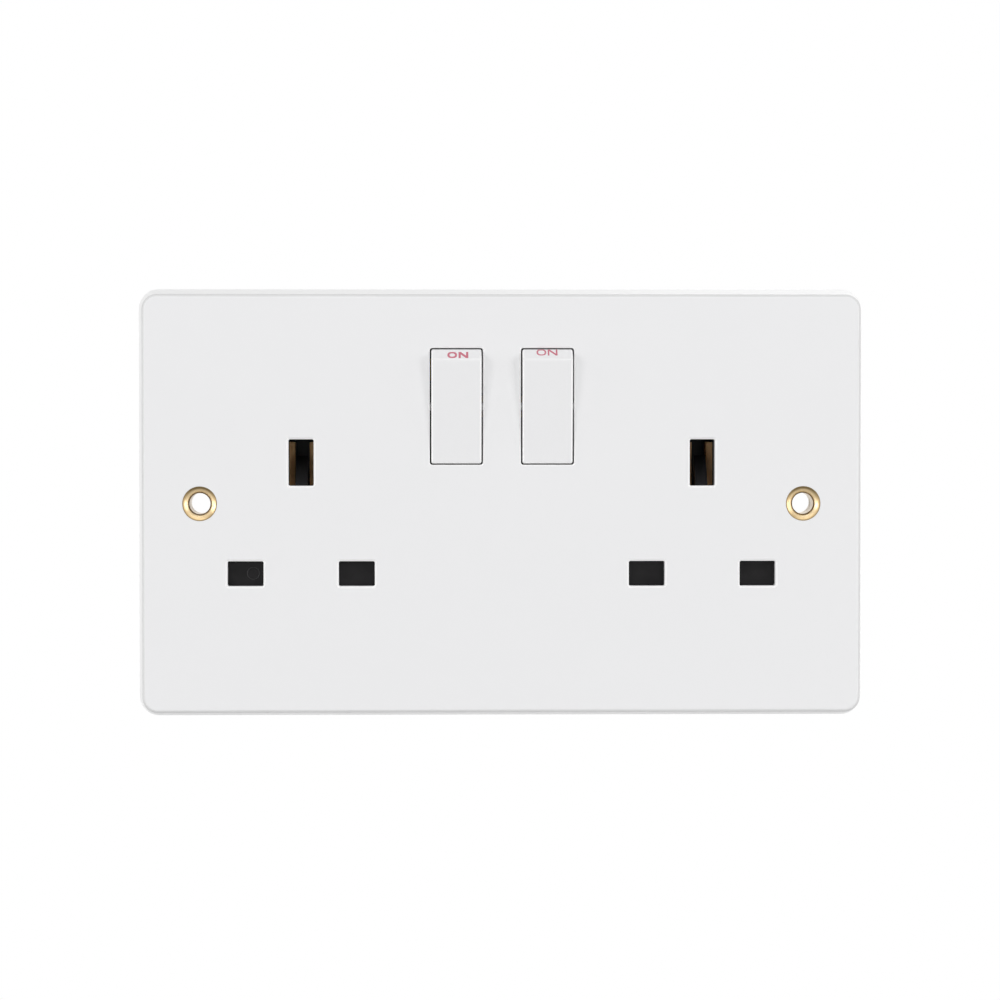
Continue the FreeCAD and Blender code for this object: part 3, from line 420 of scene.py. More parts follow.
@dataclass(frozen=True)
class SheetMetal(Finish):
    """Rolled or stamped metal: fine lines along one way, cloudy tarnish and uneven gloss."""

    colour: Colour
    tarnish: Colour
    roughness: float = 0.3
    metallic: float = 1.0
    grain: tuple[float, float, float] = (300.0, 5000.0, 5000.0)
    grain_depth: float = 0.0015 * MM

    def build(self) -> bpy.types.Material:
        """Builds the node tree."""
        sheet = NodeSheet(self.name)
        cloud = sheet.noise(sheet.mapped((220.0, 220.0, 220.0)), 4.0)
        colour = sheet.ramp(cloud, ((0.38, self.tarnish), (0.56, self.colour)))
        lines = sheet.noise(sheet.mapped(self.grain), 3.0)
        rough = sheet.ranged(lines, 0.3, 0.7, self.roughness - 0.07, self.roughness + 0.07)
        normal = sheet.bump(lines, self.grain_depth)
        sheet.shader(Base_Color=colour, Metallic=self.metallic, Roughness=rough, Normal=normal)
        return sheet.material


@dataclass(frozen=True)
class SpunMetal(Finish):
    """Metal that was rolled round an axis along Y: rings, painted light and shade by the radius, and painted shade
    at the top of the outer edge.
    """

    centre_x: float
    stops: tuple[tuple[float, Colour], ...]
    reach: float
    # Colour of the painted shade at the top of the outer edge.
    painted_top_shade: Colour
    roughness: float = 0.34
    ring_size: float = 0.11 * MM
    ring_depth: float = 0.002 * MM

    def build(self) -> bpy.types.Material:
        """Builds the node tree."""
        sheet = NodeSheet(self.name)
        flat = sheet.mapped((1.0, 0.0, 1.0), (self.centre_x, 0.0, 0.0))
        length = sheet.add("ShaderNodeVectorMath", operation="LENGTH")
        sheet.link(flat, length.inputs[0])
        radius = length.outputs["Value"]
        cloud = sheet.noise(sheet.mapped((700.0, 700.0, 700.0)), 3.0)
        wander = sheet.ranged(cloud, 0.3, 0.7, -0.008, 0.008)
        # Painted light and shade: the ramp by radius lays highlights and dark rings where the lamps would.
        share = sheet.ranged(radius, 0.0, self.reach, 0.0, 1.0)
        spun = sheet.ramp(sheet.maths("ADD", share, wander), self.stops)
        # Painted shade: darker at the top of the outer edge.
        high = sheet.ranged(sheet.parts(flat)[2], self.reach * 0.2, self.reach * 0.8, 0.0, 0.85)
        outer = sheet.ranged(share, 0.8, 0.88, 0.0, 1.0)
        colour = sheet.blend(sheet.maths("MULTIPLY", high, outer), spun, self.painted_top_shade)
        rings = sheet.add("ShaderNodeTexNoise", noise_dimensions="1D")
        rings.inputs["Scale"].default_value = 1 / self.ring_size
        rings.inputs["Detail"].default_value = 2.0
        sheet.link(radius, rings.inputs["W"])
        rough = sheet.ranged(cloud, 0.3, 0.7, self.roughness - 0.06, self.roughness + 0.06)
        normal = sheet.bump(rings.outputs["Fac"], self.ring_depth)
        sheet.shader(Base_Color=colour, Metallic=1.0, Roughness=rough, Normal=normal)
        return sheet.material


@dataclass(frozen=True)
class Ink(Finish):
    """Printed ink with slightly uneven cover."""

    colour: Colour
    thin: Colour
    roughness: float = 0.5

    def build(self) -> bpy.types.Material:
        """Builds the node tree."""
        sheet = NodeSheet(self.name)
        cover = sheet.noise(sheet.mapped((6000.0, 6000.0, 6000.0)), 3.0)
        colour = sheet.ramp(cover, ((0.36, self.thin), (0.5, self.colour)))
        normal = sheet.bump(cover, 0.001 * MM)
        sheet.shader(Base_Color=colour, Roughness=self.roughness, Normal=normal)
        return sheet.material


@dataclass(frozen=True)
class PaleFloor(Finish):
    """A plain pale floor with faint specks."""

    colour: Colour

    def build(self) -> bpy.types.Material:
        """Builds the node tree."""
        sheet = NodeSheet(self.name)
        speck = sheet.noise(sheet.mapped((30.0, 30.0, 30.0)), 2.0)
        darker = tuple(c * 0.985 for c in self.colour)
        sheet.shader(Base_Color=sheet.ramp(speck, ((0.4, darker), (0.6, self.colour))), Roughness=0.8)
        return sheet.material


# The edge colours below are painted highlights, and the plate's line colour is painted shade.
WHITE_PLATE = PlatePlasticWithPaintedLight("white_urea", srgb(234, 234, 235), roughness=0.38, specular=0.42,
                            edge=srgb(251, 251, 251), line=srgb(221, 221, 221))
WHITE_ROCKER = RockerPlasticWithPaintedHighlights("white_rocker", srgb(233, 233, 234), roughness=0.3, edge=srgb(250, 250, 250))
BLACK_HOUSING = Plastic("black_phenolic", srgb(34, 33, 33), 0.42, 0.08, 0.25 * MM, 0.004 * MM)
DARK_SHUTTER = Plastic("dark_shutter", srgb(26, 25, 26), 0.42, 0.6, 0.3 * MM, 0.002 * MM, 0.15, 230.0)
SHUTTER_MARK = Plastic("shutter_mark", srgb(31, 31, 32), 0.4, 0.1)
NATURAL_NYLON = Plastic("natural_nylon", srgb(222, 217, 203), 0.4, 0.03)
STRIP_BRASS = SheetMetal("rolled_brass", srgb(214, 178, 112), srgb(186, 146, 86))
# The earth jaws' brass, lighter and almost unmetallic so that it shows bright deep in the earth slot: a brass
# colour with painted light.
BRIGHTENED_CLIP_BRASS = SheetMetal("clip_brass", srgb(255, 210, 156), srgb(240, 190, 136), 0.45, 0.1)
BUTTON_SILVER = SheetMetal("contact_silver", srgb(226, 224, 218), srgb(196, 192, 184), 0.26)
SPRING_STEEL = SheetMetal("spring_steel", srgb(190, 190, 192), srgb(150, 150, 154), 0.28)
ZINC_STEEL = SheetMetal("zinc_steel", srgb(206, 208, 212), srgb(176, 180, 188), 0.3)
PRINT_RED = Ink("red_print", srgb(192, 102, 119), srgb(206, 130, 144))
FLOOR = PaleFloor("pale_floor", srgb(236, 236, 236))


def eyelet_brass(side: str, centre_x: float) -> SpunMetal:
    """The spun brass of one eyelet, with painted highlights on the barrel and an inner ring, painted shade at the
    hole's edge, and darker towards the rim.

    Args:
        side: Which eyelet, for the name.
        centre_x: Its centre along X, in metres.

    Returns:
        The finish.
    """
    reach = 3.6 * MM
    hole = 2.1 * MM
    # Colours by distance out from the hole: a painted highlight on the barrel and about 0.3 mm out, a painted dark
    # ring at the hole's edge, darker towards the rim.
    rings = ((0.0, srgb(240, 226, 204)), (0.04 * MM, srgb(136, 112, 78)), (0.12 * MM, srgb(140, 116, 80)),
             (0.3 * MM, srgb(255, 240, 206)), (0.62 * MM, srgb(226, 202, 160)),
             (0.9 * MM, srgb(190, 166, 126)), (1.3 * MM, srgb(150, 130, 96)))
    stops = tuple(((hole + out) / reach, colour) for out, colour in rings)
    # The last colour is the painted shade at the top of the rim.
    return SpunMetal(side + "_eyelet_brass", centre_x, stops, reach, srgb(104, 88, 58))


def dress_node(node: str, finish: Finish) -> None:
    """Gives a CAD node its finish.

    Args:
        node: The node's name.
        finish: The finish for all its slots.
    """
    for slot in frame["nodes"][node].material_slots:
        slot.material = finish.make()


def body_of(node: str) -> str:
    """The body that carries a node."""
    for body, nodes in frame["record"]["behaviour"]["bodies"].items():
        if node in nodes:
            return body
    raise KeyError(node)


def new_piece(name: str, mesh: bpy.types.Mesh, finish: Finish, body: str) -> bpy.types.Object:
    """Puts a mesh into the scene as a piece that rides a body.

    Args:
        name: The piece's name.
        mesh: Its mesh, in the frame's own place.
        finish: Its finish.
        body: The body that carries it.

    Returns:
        The piece.
    """
    mesh.name = name
    mesh.materials.clear()
    mesh.materials.append(finish.make())
    piece = bpy.data.objects.new(name, mesh)
    bpy.context.scene.collection.objects.link(piece)
    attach(piece, body)
    return piece


def box_of(node: str) -> tuple[Vector, Vector]:
    """The lowest and highest corner of a node at rest."""
    low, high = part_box(node)
    return Vector(low), Vector(high)


class Letter(Enum):
    """The letters that the socket carries."""

    E = "E"
    L = "L"
    N = "N"
    O = "O"


@dataclass(frozen=True)
class LetterStyle:
    """How letters are drawn: their height, width, stroke, gap and thickness in metres."""

    height: float
    width: float
    stroke: float
    gap: float
    thickness: float

    def outline(self, letter: Letter) -> list[list[tuple[float, float]]]:
        """The closed outline of a letter, and of its eye if it has one.

        Args:
            letter: Which letter.

        Returns:
            One or two lists of points, from the letter's lower left corner.
        """
        w, h, s = self.width, self.height, self.stroke
        if letter is Letter.L:
            return [[(0, 0), (w, 0), (w, s), (s, s), (s, h), (0, h)]]
        if letter is Letter.E:
            middle = (h - s) / 2
            return [[(0, 0), (w, 0), (w, s), (s, s), (s, middle), (w - s / 2, middle),
                     (w - s / 2, middle + s), (s, middle + s), (s, h - s), (w, h - s), (w, h), (0, h)]]
        if letter is Letter.N:
            drop = s * 1.7
            return [[(0, 0), (s, 0), (s, h - drop), (w - s * 1.1, 0), (w, 0), (w, h), (w - s, h),
                     (w - s, drop), (s * 1.1, h), (0, h)]]
        steps = 40
        squareness = 0.82
        rings = []
        for inset in (0.0, s):
            ring = []
            for step in range(steps):
                angle = 2 * math.pi * step / steps
                along = math.copysign(abs(math.cos(angle)) ** squareness, math.cos(angle))
                up = math.copysign(abs(math.sin(angle)) ** squareness, math.sin(angle))
                ring.append((w / 2 + (w / 2 - inset) * along, h / 2 + (h / 2 - inset) * up))
            rings.append(ring)
        return rings

    def mesh(self, word: Sequence[Letter], place: Matrix, top: float | None = None) -> bpy.types.Mesh:
        """Builds the word as raised letters, centred on a place.

        Args:
            word: The letters in order.
            place: Takes X along the word, Y up and Z out of the surface.
            top: How far above the middle the surface ends, where it cuts the letters off.

        Returns:
            The mesh, in the place's frame.
        """
        shape = bmesh.new()
        total = len(word) * self.width + (len(word) - 1) * self.gap
        for number, letter in enumerate(word):
            shift = number * (self.width + self.gap) - total / 2
            rings = [[(x + shift, y - self.height / 2) for x, y in ring] for ring in self.outline(letter)]
            self.raise_letter(shape, rings)
        if top is not None and top < self.height / 2:
            bmesh.ops.triangulate(shape, faces=shape.faces)
            parts = shape.verts[:] + shape.edges[:] + shape.faces[:]
            bmesh.ops.bisect_plane(shape, geom=parts, plane_co=(0, top, 0), plane_no=(0, 1, 0),
                                   clear_outer=True)
            bmesh.ops.holes_fill(shape, edges=[edge for edge in shape.edges if edge.is_boundary])
        bmesh.ops.recalc_face_normals(shape, faces=shape.faces)
        shape.transform(place)
        mesh = bpy.data.meshes.new("letters")
        shape.to_mesh(mesh)
        shape.free()
        return mesh

    def raise_letter(self, shape: bmesh.types.BMesh, rings: list[list[tuple[float, float]]]) -> None:
        """Adds one closed letter: its two faces and its walls.

        Args:
            shape: Where the letter goes.
            rings: The outline and, for a letter with an eye, the inner outline.
        """
        levels = []
        for z in (0.0, self.thickness):
            levels.append([[shape.verts.new((x, y, z)) for x, y in ring] for ring in rings])
        for low_ring, high_ring in zip(*levels):
            count = len(low_ring)
            for i in range(count):
                j = (i + 1) % count
                shape.faces.new((low_ring[i], low_ring[j], high_ring[j], high_ring[i]))
        for level in levels:
            if len(level) == 1:
                shape.faces.new(level[0])
                continue
            outer, inner = level
            for i in range(len(outer)):
                j = (i + 1) % len(outer)
                shape.faces.new((outer[i], outer[j], inner[j], inner[i]))


@dataclass
class NodeGroup:
    """A Geometry Nodes tree with named inputs, run once and turned into a plain mesh."""

    name: str

    def __post_init__(self) -> None:
        """Makes the empty tree with its geometry output."""
        self.tree = bpy.data.node_groups.new(self.name, "GeometryNodeTree")
        self.tree.interface.new_socket(name="Geometry", in_out="OUTPUT", socket_type="NodeSocketGeometry")
        self.inputs: dict[str, str] = {}
        self.source = self.tree.nodes.new("NodeGroupInput")
        self.sink = self.tree.nodes.new("NodeGroupOutput")

    def number(self, name: str, kind: str = "NodeSocketFloat") -> None:
        """Adds a named input."""
        socket = self.tree.interface.new_socket(name=name, in_out="INPUT", socket_type=kind)
        self.inputs[name] = socket.identifier

    def add(self, kind: str, links: dict[str, Feed] | None = None, **settings: object) -> bpy.types.Node:
        """Adds a node, sets its properties and feeds its inputs.

        Args:
            kind: The node's type.
            links: Input names with an output, the name of a group input, or a plain number.
            settings: Property names and values.

        Returns:
            The new node.
        """
        node = self.tree.nodes.new(kind)
        for key, value in settings.items():
            setattr(node, key, value)
        for key, value in (links or {}).items():
            if isinstance(value, str):
                self.tree.links.new(self.source.outputs[value], node.inputs[key])
            elif isinstance(value, bpy.types.NodeSocket):
                self.tree.links.new(value, node.inputs[key])
            else:
                node.inputs[key].default_value = value
        return node

    def close(self, geometry: bpy.types.NodeSocket, material: bpy.types.Material) -> None:
        """Ends the tree in Realize Instances and Set Material.

        Args:
            geometry: What the tree has made.
            material: What it is made of.
        """
        real = self.add("GeometryNodeRealizeInstances", {"Geometry": geometry})
        painted = self.add("GeometryNodeSetMaterial", {"Geometry": real.outputs["Geometry"]})
        painted.inputs["Material"].default_value = material
        self.tree.links.new(painted.outputs["Geometry"], self.sink.inputs["Geometry"])

    def run(self, values: dict[str, float | int]) -> bpy.types.Mesh:
        """Runs the tree on an empty mesh with these values.

        Args:
            values: A value for each named input.

        Returns:
            The plain mesh.
        """
        holder = bpy.data.objects.new("holder", bpy.data.meshes.new("holder"))
        bpy.context.scene.collection.objects.link(holder)
        modifier = holder.modifiers.new(self.name, "NODES")
        modifier.node_group = self.tree
        for name, value in values.items():
            modifier[self.inputs[name]] = value
        graph = bpy.context.evaluated_depsgraph_get()
        mesh = bpy.data.meshes.new_from_object(holder.evaluated_get(graph))
        holder.modifiers.remove(modifier)
        bpy.data.objects.remove(holder)
        return mesh


def coil_tree(finish: Finish) -> NodeGroup:
    """A tree that winds round wire into a coil: a compression spring or a screw's thread.

    Args:
        finish: What the wire is made of.

    Returns:
        The tree, with inputs Radius, Wire, Turns, Length, Steps and Sides.
    """
    group = NodeGroup("coil_" + finish.name)
    for name in ("Radius", "Wire", "Turns", "Length"):
        group.number(name)
    for name in ("Steps", "Sides"):
        group.number(name, "NodeSocketInt")
    spiral = group.add("GeometryNodeCurveSpiral", {
        "Resolution": "Steps", "Rotations": "Turns", "Start Radius": "Radius", "End Radius": "Radius",
        "Height": "Length"})
    ring = group.add("GeometryNodeCurvePrimitiveCircle", {"Resolution": "Sides", "Radius": "Wire"})
    wire = group.add("GeometryNodeCurveToMesh", {
        "Curve": spiral.outputs["Curve"], "Profile Curve": ring.outputs["Curve"], "Fill Caps": True})
    smooth = group.add("GeometryNodeSetShadeSmooth", {"Geometry": wire.outputs["Mesh"]})
    group.close(smooth.outputs["Geometry"], finish.make())
    return group


def marks_tree(finish: Finish) -> NodeGroup:
    """A tree that sets out a grid of round ejector marks, each a low ring.

    Args:
        finish: What the marks are made of.

    Returns:
        The tree, with inputs Columns, Rows, Width, Depth, Radius and Rise.
    """
    group = NodeGroup("marks_" + finish.name)
    for name in ("Width", "Depth", "Radius", "Rise"):
        group.number(name)
    for name in ("Columns", "Rows"):
        group.number(name, "NodeSocketInt")
    grid = group.add("GeometryNodeMeshGrid", {
        "Size X": "Width", "Size Y": "Depth", "Vertices X": "Columns", "Vertices Y": "Rows"})
    circle = group.add("GeometryNodeCurvePrimitiveCircle", {"Resolution": 48, "Radius": "Radius"})
    rim = group.add("GeometryNodeCurvePrimitiveCircle", {"Resolution": 10, "Radius": "Rise"})
    ring = group.add("GeometryNodeCurveToMesh", {
        "Curve": circle.outputs["Curve"], "Profile Curve": rim.outputs["Curve"]})
    smooth = group.add("GeometryNodeSetShadeSmooth", {"Geometry": ring.outputs["Mesh"]})
    spread = group.add("GeometryNodeInstanceOnPoints", {
        "Points": grid.outputs["Mesh"], "Instance": smooth.outputs["Geometry"]})
    group.close(spread.outputs["Instances"], finish.make())
    return group


def placed(mesh: bpy.types.Mesh, place: Matrix) -> bpy.types.Mesh:
    """Moves a mesh's points, so that its object can stay at the origin."""
    mesh.transform(place)
    mesh.update()
    return mesh


def facing(origin: Vector, across: Vector, up: Vector) -> Matrix:
    """A place on a surface: X across it, Y up it and Z out of it.

    Args:
        origin: The place's middle.
        across: Which way the word runs.
        up: Which way its letters stand.

    Returns:
        The place as a matrix.
    """
    across = across.normalized()
    out = across.cross(up).normalized()
    up = out.cross(across)
    turn = Matrix((across, up, out)).transposed()
    return Matrix.Translation(origin) @ turn.to_4x4()


@dataclass
class Rocker:
    """One rocker with its print and its plunger."""

    side: str
    print_rise: float
    print_shift: float
    stroke: float

    def facet(self) -> tuple[Vector, Vector, float]:
        """Finds the flat facet that carries the print, on the rocker's own mesh.

        Returns:
            The middle of the facet's lower edge, the way up along the facet, and its length.
        """
        mesh = frame["nodes"][self.side + "_rocker"].data
        leaning = [face for face in mesh.polygons
                   if face.normal.z > 0.5 and face.normal.y < -0.4 and abs(face.normal.x) < 0.01]
        largest = max(leaning, key=lambda face: face.area)
        out = largest.normal.copy()
        flat = [face for face in leaning if face.normal.dot(out) > 0.9999]
        points = [mesh.vertices[v].co for face in flat for v in face.vertices]
        up = out.cross(Vector((1, 0, 0))).normalized()
        low = min(points, key=lambda p: p.dot(up))
        length = max(p.dot(up) for p in points) - low.dot(up)
        middle_x = (min(p.x for p in points) + max(p.x for p in points)) / 2
        return Vector((middle_x, low.y, low.z)), up, length

    def add_print(self) -> None:
        """Prints the word on the facet."""
        start, up, length = self.facet()
        letters = LetterStyle(1.85 * MM, 1.92 * MM, self.stroke, 0.31 * MM, 0.02 * MM)
        rise = self.print_rise + letters.height / 2
        place = facing(start + up * rise + Vector((self.print_shift, 0, 0)), Vector((1, 0, 0)), up)
        mesh = letters.mesh((Letter.O, Letter.N), place, length - rise)
        new_piece(self.side + "_on_print", mesh, PRINT_RED, self.side + "_rocker")

    def build(self) -> None:
        """Dresses the rocker and its plunger and adds the print."""
        dress_node(self.side + "_rocker", WHITE_ROCKER)
        dress_node(self.side + "_plunger", NATURAL_NYLON)
        self.add_print()


@dataclass
class Coils:
    """The springs behind the plungers and under the shutters, as round wire."""

    wire: float = 0.35 * MM
    shutter_turns: float = 8.0
    plunger_turns: float = 5.0
    shutter_travel: float = 5.8 * MM
    plunger_travel: float = 1.0 * MM

    def __post_init__(self) -> None:
        """Makes the tree that winds them."""
        self.tree = coil_tree(SPRING_STEEL)

    def wind(self, radius: float, turns: float, length: float) -> bpy.types.Mesh:
        """Winds one spring that stands on the origin along Z.

        Args:
            radius: The outside radius.
            turns: How many turns it has.
            length: Its length over the wire.

        Returns:
            The mesh.
        """
        steps = int(36 * turns)
        mesh = self.tree.run({
            "Radius": radius - self.wire / 2, "Wire": self.wire / 2, "Turns": turns,
            "Length": length - self.wire, "Steps": steps, "Sides": 12})
        return placed(mesh, Matrix.Translation((0, 0, self.wire / 2)))

    def shutter_spring(self, side: str) -> None:
        """Replaces the spring under one shutter."""
        node = side + "_shutter_spring"
        low, high = box_of(node)
        radius = (high.x - low.x) / 2
        length = high.z - low.z
        foot = Vector(((low.x + high.x) / 2, (low.y + high.y) / 2, low.z))
        mesh = placed(self.wind(radius, self.shutter_turns, length), Matrix.Translation(foot))
        piece = new_piece(side + "_shutter_coil", mesh, SPRING_STEEL, "base")
        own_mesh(piece)
        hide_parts(node)

    def plunger_spring(self, side: str) -> None:
        """Replaces the spring in one rocker's stem; it rides the rocker."""
        node = side + "_plunger_spring"
        joint = next(j for j in frame["joints"] if j["name"] == side + "_plunger_press")
        inward = Vector(joint["axis"]).normalized()
        points = [v.co for v in frame["nodes"][node].data.vertices]
        ends = [p.dot(inward) for p in points]
        length = max(ends) - min(ends)
        middle = sum(points, Vector()) / len(points)
        foot = middle + inward * (min(ends) - middle.dot(inward))
        radius = (box_of(node)[1].x - box_of(node)[0].x) / 2
        turn = Vector((0, 0, 1)).rotation_difference(-inward).to_matrix().to_4x4()
        seat = foot + inward * length
        mesh = placed(self.wind(radius, self.plunger_turns, length), Matrix.Translation(seat) @ turn)
        piece = new_piece(side + "_plunger_coil", mesh, SPRING_STEEL, side + "_rocker")
        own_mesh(piece)
        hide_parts(node)

    def build(self) -> None:
        """Winds all four springs."""
        for side in ("left", "right"):
            self.shutter_spring(side)
            self.plunger_spring(side)


@dataclass
class Contacts:
    """The brass strips, bars, clips, arms and their silver buttons."""

    brass_nodes: tuple[str, ...] = ("earth_strip", "neutral_bar", "live_bar", "jaw_rivets",
                                    "neutral_terminal", "earth_terminal", "live_terminal")
    side_brass: tuple[str, ...] = ("contact_arm", "neutral_jaws", "live_jaws", "load_strip")
    side_silver: tuple[str, ...] = ("moving_contact", "fixed_contact")

    def build(self) -> None:
        """Dresses every piece that carries current."""
        for node in self.brass_nodes:
            dress_node(node, STRIP_BRASS)
        for side in ("left_", "right_"):
            for name in self.side_brass:
                dress_node(side + name, STRIP_BRASS)
            dress_node(side + "earth_jaws", BRIGHTENED_CLIP_BRASS)
            for name in self.side_silver:
                dress_node(side + name, BUTTON_SILVER)


@dataclass
class Eyelets:
    """The two brass eyelets in the fixing holes."""

    def build(self) -> None:
        """Gives each eyelet its spun brass, centred on its own hole."""
        for side in ("left", "right"):
            low, high = box_of(side + "_eyelet")
            dress_node(side + "_eyelet", eyelet_brass(side, (low.x + high.x) / 2))


@dataclass
class Shutters:
    """The dark shutters, and the ejector mark that shows on the left one's neutral blade."""

    mark_radius: float = 1.2 * MM
    mark_height: float = 0.08 * MM
    mark_shift: float = -9.63 * MM
    mark_rise: float = 6.75 * MM

    def build(self) -> None:
        """Dresses the shutters and adds the mark."""
        for side in ("left", "right"):
            dress_node(side + "_shutter", DARK_SHUTTER)
        low, high = box_of("left_shutter")
        tree = marks_tree(SHUTTER_MARK)
        mesh = tree.run({"Width": 0.0, "Depth": 0.0, "Columns": 1, "Rows": 1,
                         "Radius": self.mark_radius, "Rise": self.mark_height})
        face = Vector(((low.x + high.x) / 2 + self.mark_shift, low.y, low.z + self.mark_rise))
        place = facing(face, Vector((1, 0, 0)), Vector((0, 0, 1)))
        new_piece("left_shutter_mark", placed(mesh, place), SHUTTER_MARK, body_of("left_shutter"))


@dataclass
class Housing:
    """The black housing behind the plate, with its moulded letters, marks and screws."""

    letters: LetterStyle = LetterStyle(3.6 * MM, 2.6 * MM, 0.6 * MM, 0.8 * MM, 0.35 * MM)
    letter_gap: float = 2.2 * MM
    mark_radius: float = 1.6 * MM
    mark_height: float = 0.1 * MM
    marks_width: float = 76 * MM
    marks_depth: float = 14 * MM
    marks_rise: float = 18 * MM
    shank: float = 1.95 * MM
    thread_pitch: float = 0.6 * MM
    thread_wire: float = 0.09 * MM
    thread_sunk: float = 0.02 * MM
    screw_head: float = 1.8 * MM

    def terminal_letters(self) -> None:
        """Moulds the letter of each terminal on the back, above its trough."""
        back = box_of("rear_housing")[1].y
        for name, letter in (("neutral", Letter.N), ("earth", Letter.E), ("live", Letter.L)):
            low, high = box_of(name + "_terminal")
            rise = high.z + self.letter_gap + self.letters.height
            middle = Vector(((low.x + high.x) / 2, back, rise))
            place = facing(middle, Vector((-1, 0, 0)), Vector((0, 0, 1)))
            mesh = self.letters.mesh((letter,), place)
            new_piece(name + "_letter", mesh, BLACK_HOUSING, "base")

    def ejector_marks(self) -> None:
        """Adds the round ejector marks to the back."""
        back = box_of("rear_housing")[1].y
        tree = marks_tree(BLACK_HOUSING)
        mesh = tree.run({"Width": self.marks_width, "Depth": self.marks_depth, "Columns": 4, "Rows": 2,
                         "Radius": self.mark_radius, "Rise": self.mark_height})
        place = facing(Vector((0, back, self.marks_rise)), Vector((-1, 0, 0)), Vector((0, 0, 1)))
        new_piece("housing_marks", placed(mesh, place), BLACK_HOUSING, "base")

    def screw_threads(self) -> None:
        """Winds the thread on each clamp screw, between its head and the block."""
        tree = coil_tree(ZINC_STEEL)
        for name in ("neutral", "earth", "live"):
            low, high = box_of(name + "_terminal_screw")
            pitch = self.thread_pitch
            length = high.y - low.y - self.screw_head - pitch
            mesh = tree.run({"Radius": self.shank - self.thread_sunk, "Wire": self.thread_wire,
                             "Turns": length / pitch, "Length": length,
                             "Steps": int(28 * length / pitch), "Sides": 6})
            foot = Vector(((low.x + high.x) / 2, low.y + pitch / 2, (low.z + high.z) / 2))
            turn = Vector((0, 0, 1)).rotation_difference(Vector((0, 1, 0))).to_matrix().to_4x4()
            new_piece(name + "_screw_thread", placed(mesh, Matrix.Translation(foot) @ turn), ZINC_STEEL,
                      "base")

    def build(self) -> None:
        """Dresses the housing, the cover and the screws, and adds what is moulded on them."""
        for node in ("rear_housing", "inner_cover"):
            dress_node(node, BLACK_HOUSING)
        for node in ("housing_screws", "neutral_terminal_screw", "earth_terminal_screw",
                     "live_terminal_screw"):
            dress_node(node, ZINC_STEEL)
        self.terminal_letters()
        self.ejector_marks()
        self.screw_threads()


@dataclass
class Plate:
    """The white plate."""

    def build(self) -> None:
        """Dresses the plate."""
        dress_node("front_plate", WHITE_PLATE)


@dataclass
class Softbox:
    """One soft lamp that looks at the socket."""

    name: str
    place: Vector
    width: float
    height: float
    power: float

    def build(self, target: Vector) -> None:
        """Makes the lamp.

        Args:
            target: What it looks at.
        """
        lamp = bpy.data.lights.new(self.name, "AREA")
        lamp.shape = "RECTANGLE"
        lamp.size = self.width
        lamp.size_y = self.height
        lamp.energy = self.power
        holder = bpy.data.objects.new(self.name, lamp)
        holder.location = self.place
        holder.rotation_euler = (target - self.place).to_track_quat("-Z", "Y").to_euler()
        bpy.context.scene.collection.objects.link(holder)


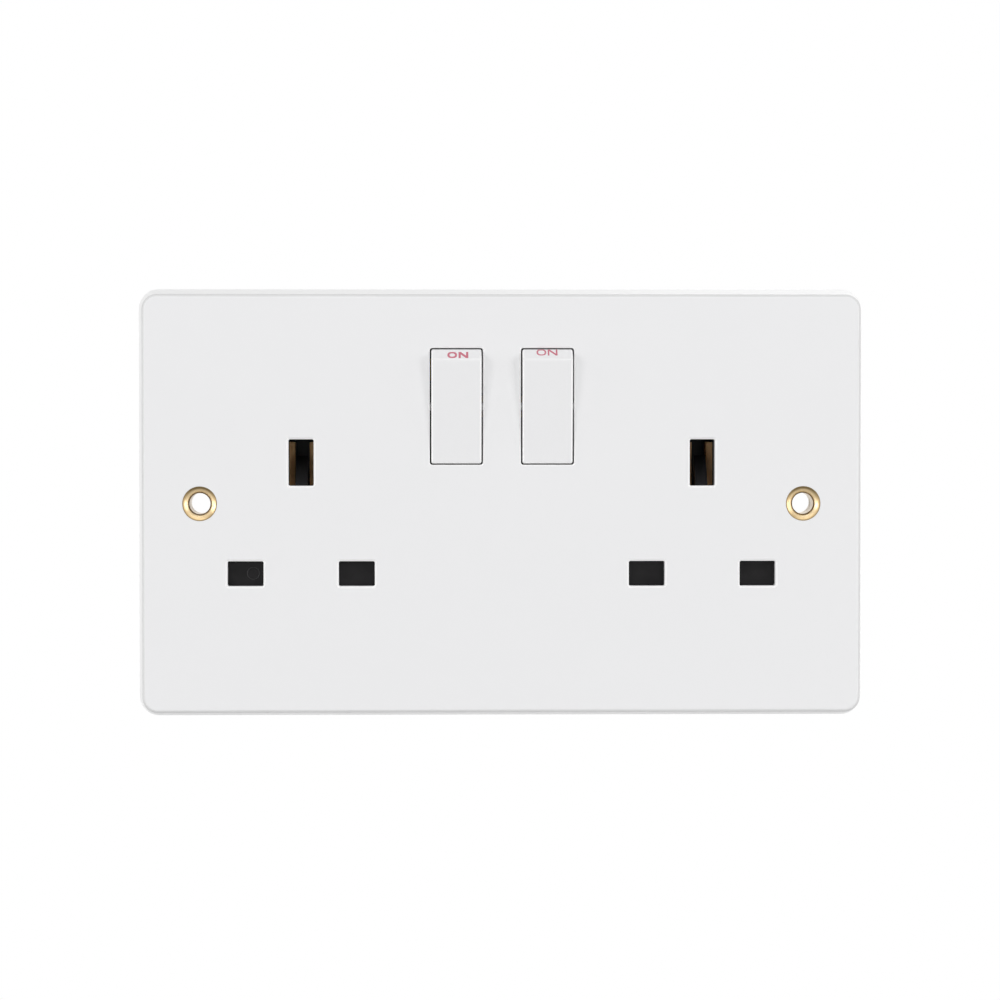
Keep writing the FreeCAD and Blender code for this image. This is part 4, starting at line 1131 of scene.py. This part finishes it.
@dataclass
class Studio:
    """The floor, the white surround and the soft lamps."""

    floor_depth: float = 0.17
    floor_half: float = 0.25
    surround: float = 0.355

    def floor(self) -> None:
        """Lays the pale floor below the socket."""
        shape = bmesh.new()
        bmesh.ops.create_grid(shape, x_segments=8, y_segments=8, size=self.floor_half)
        bmesh.ops.translate(shape, verts=shape.verts, vec=(0, -0.05, -self.floor_depth))
        mesh = bpy.data.meshes.new("floor")
        shape.to_mesh(mesh)
        shape.free()
        mesh.materials.append(FLOOR.make())
        floor = bpy.data.objects.new("floor", mesh)
        bpy.context.scene.collection.objects.link(floor)

    def world(self) -> None:
        """Makes a soft grey surround that the camera and clear reflections see as white."""
        world = bpy.data.worlds.new("surround")
        bpy.context.scene.world = world
        world.use_nodes = True
        tree = world.node_tree
        tree.nodes.clear()
        path = tree.nodes.new("ShaderNodeLightPath")
        seen = path.outputs["Is Camera Ray"]
        for name in ("Is Glossy Ray", "Is Transmission Ray"):
            either = tree.nodes.new("ShaderNodeMath")
            either.operation = "MAXIMUM"
            tree.links.new(seen, either.inputs[0])
            tree.links.new(path.outputs[name], either.inputs[1])
            seen = either.outputs["Value"]
        soft = tree.nodes.new("ShaderNodeBackground")
        soft.inputs["Color"].default_value = (1.0, 1.0, 1.0, 1.0)
        soft.inputs["Strength"].default_value = self.surround
        white = tree.nodes.new("ShaderNodeBackground")
        white.inputs["Color"].default_value = (1.0, 1.0, 1.0, 1.0)
        white.inputs["Strength"].default_value = 1.0
        mix = tree.nodes.new("ShaderNodeMixShader")
        tree.links.new(seen, mix.inputs["Fac"])
        tree.links.new(soft.outputs["Background"], mix.inputs[1])
        tree.links.new(white.outputs["Background"], mix.inputs[2])
        output = tree.nodes.new("ShaderNodeOutputWorld")
        tree.links.new(mix.outputs["Shader"], output.inputs["Surface"])

    def lamps(self) -> None:
        """Hangs the soft lamps: pairs from beside the camera to beside the plate, two above, one behind."""
        target = Vector((0, 0, 0))
        boxes = [
            Softbox("top_softbox", Vector((0.0, -0.45, 0.4)), 0.6, 0.25, 0.75),
            Softbox("ceiling_softbox", Vector((0.0, -0.12, 1.0)), 0.8, 0.3, 0.6),
            Softbox("back_softbox", Vector((0.4, 0.75, 0.75)), 0.8, 0.5, 2.6),
        ]
        for name, side in (("left", -1), ("right", 1)):
            front = Vector((side * 0.5, -1.05, 0.05))
            aside = Vector((side * 0.85, -0.7, 0.1))
            edge = Vector((side * 0.98, -0.2, 0.08))
            boxes.append(Softbox(name + "_front_softbox", front, 0.3, 0.4, 0.55))
            boxes.append(Softbox(name + "_side_softbox", aside, 0.35, 0.45, 3.1))
            boxes.append(Softbox(name + "_edge_softbox", edge, 0.3, 0.7, 1.2))
        for softbox in boxes:
            softbox.build(target)

    def build(self) -> None:
        """Sets up the whole studio and the plain view transform."""
        self.floor()
        self.world()
        self.lamps()
        bpy.context.scene.view_settings.view_transform = "Standard"


@dataclass
class PhotoCamera:
    """The camera at the photograph's place, aimed so that the plate lands where it does there."""

    place: Vector
    aim: Vector
    frame_width: float
    sensor: float = 36.0

    def build(self) -> None:
        """Makes the camera and makes it the scene's own."""
        face_distance = abs(self.aim.y - self.place.y)
        lens = bpy.data.cameras.new("photo_camera")
        lens.sensor_width = self.sensor
        lens.lens = self.sensor * face_distance / self.frame_width
        lens.clip_start = 0.01
        lens.clip_end = 20.0
        camera = bpy.data.objects.new("photo_camera", lens)
        camera.location = self.place
        camera.rotation_euler = (self.aim - self.place).to_track_quat("-Z", "Y").to_euler()
        bpy.context.scene.collection.objects.link(camera)
        bpy.context.scene.camera = camera


def main() -> None:
    """Builds the socket's pieces in order, then the studio and the camera."""
    logging.basicConfig(level=logging.INFO, format="%(name)s: %(message)s")
    face = box_of("front_plate")[0].y
    pieces = (
        Plate(),
        Housing(),
        Contacts(),
        Eyelets(),
        Shutters(),
        Coils(),
        Rocker("left", 0.25 * MM, 0.27 * MM, 0.42 * MM),
        Rocker("right", 1.06 * MM, -0.14 * MM, 0.3 * MM),
        Studio(),
        PhotoCamera(Vector((-0.017, face - 0.6955, 0.0195)), Vector((-0.0004, face, 0.00072)), 0.1996),
    )
    for piece in pieces:
        piece.build()
        log.info("built %s", type(piece).__name__)


if __name__ == "__main__":
    main()
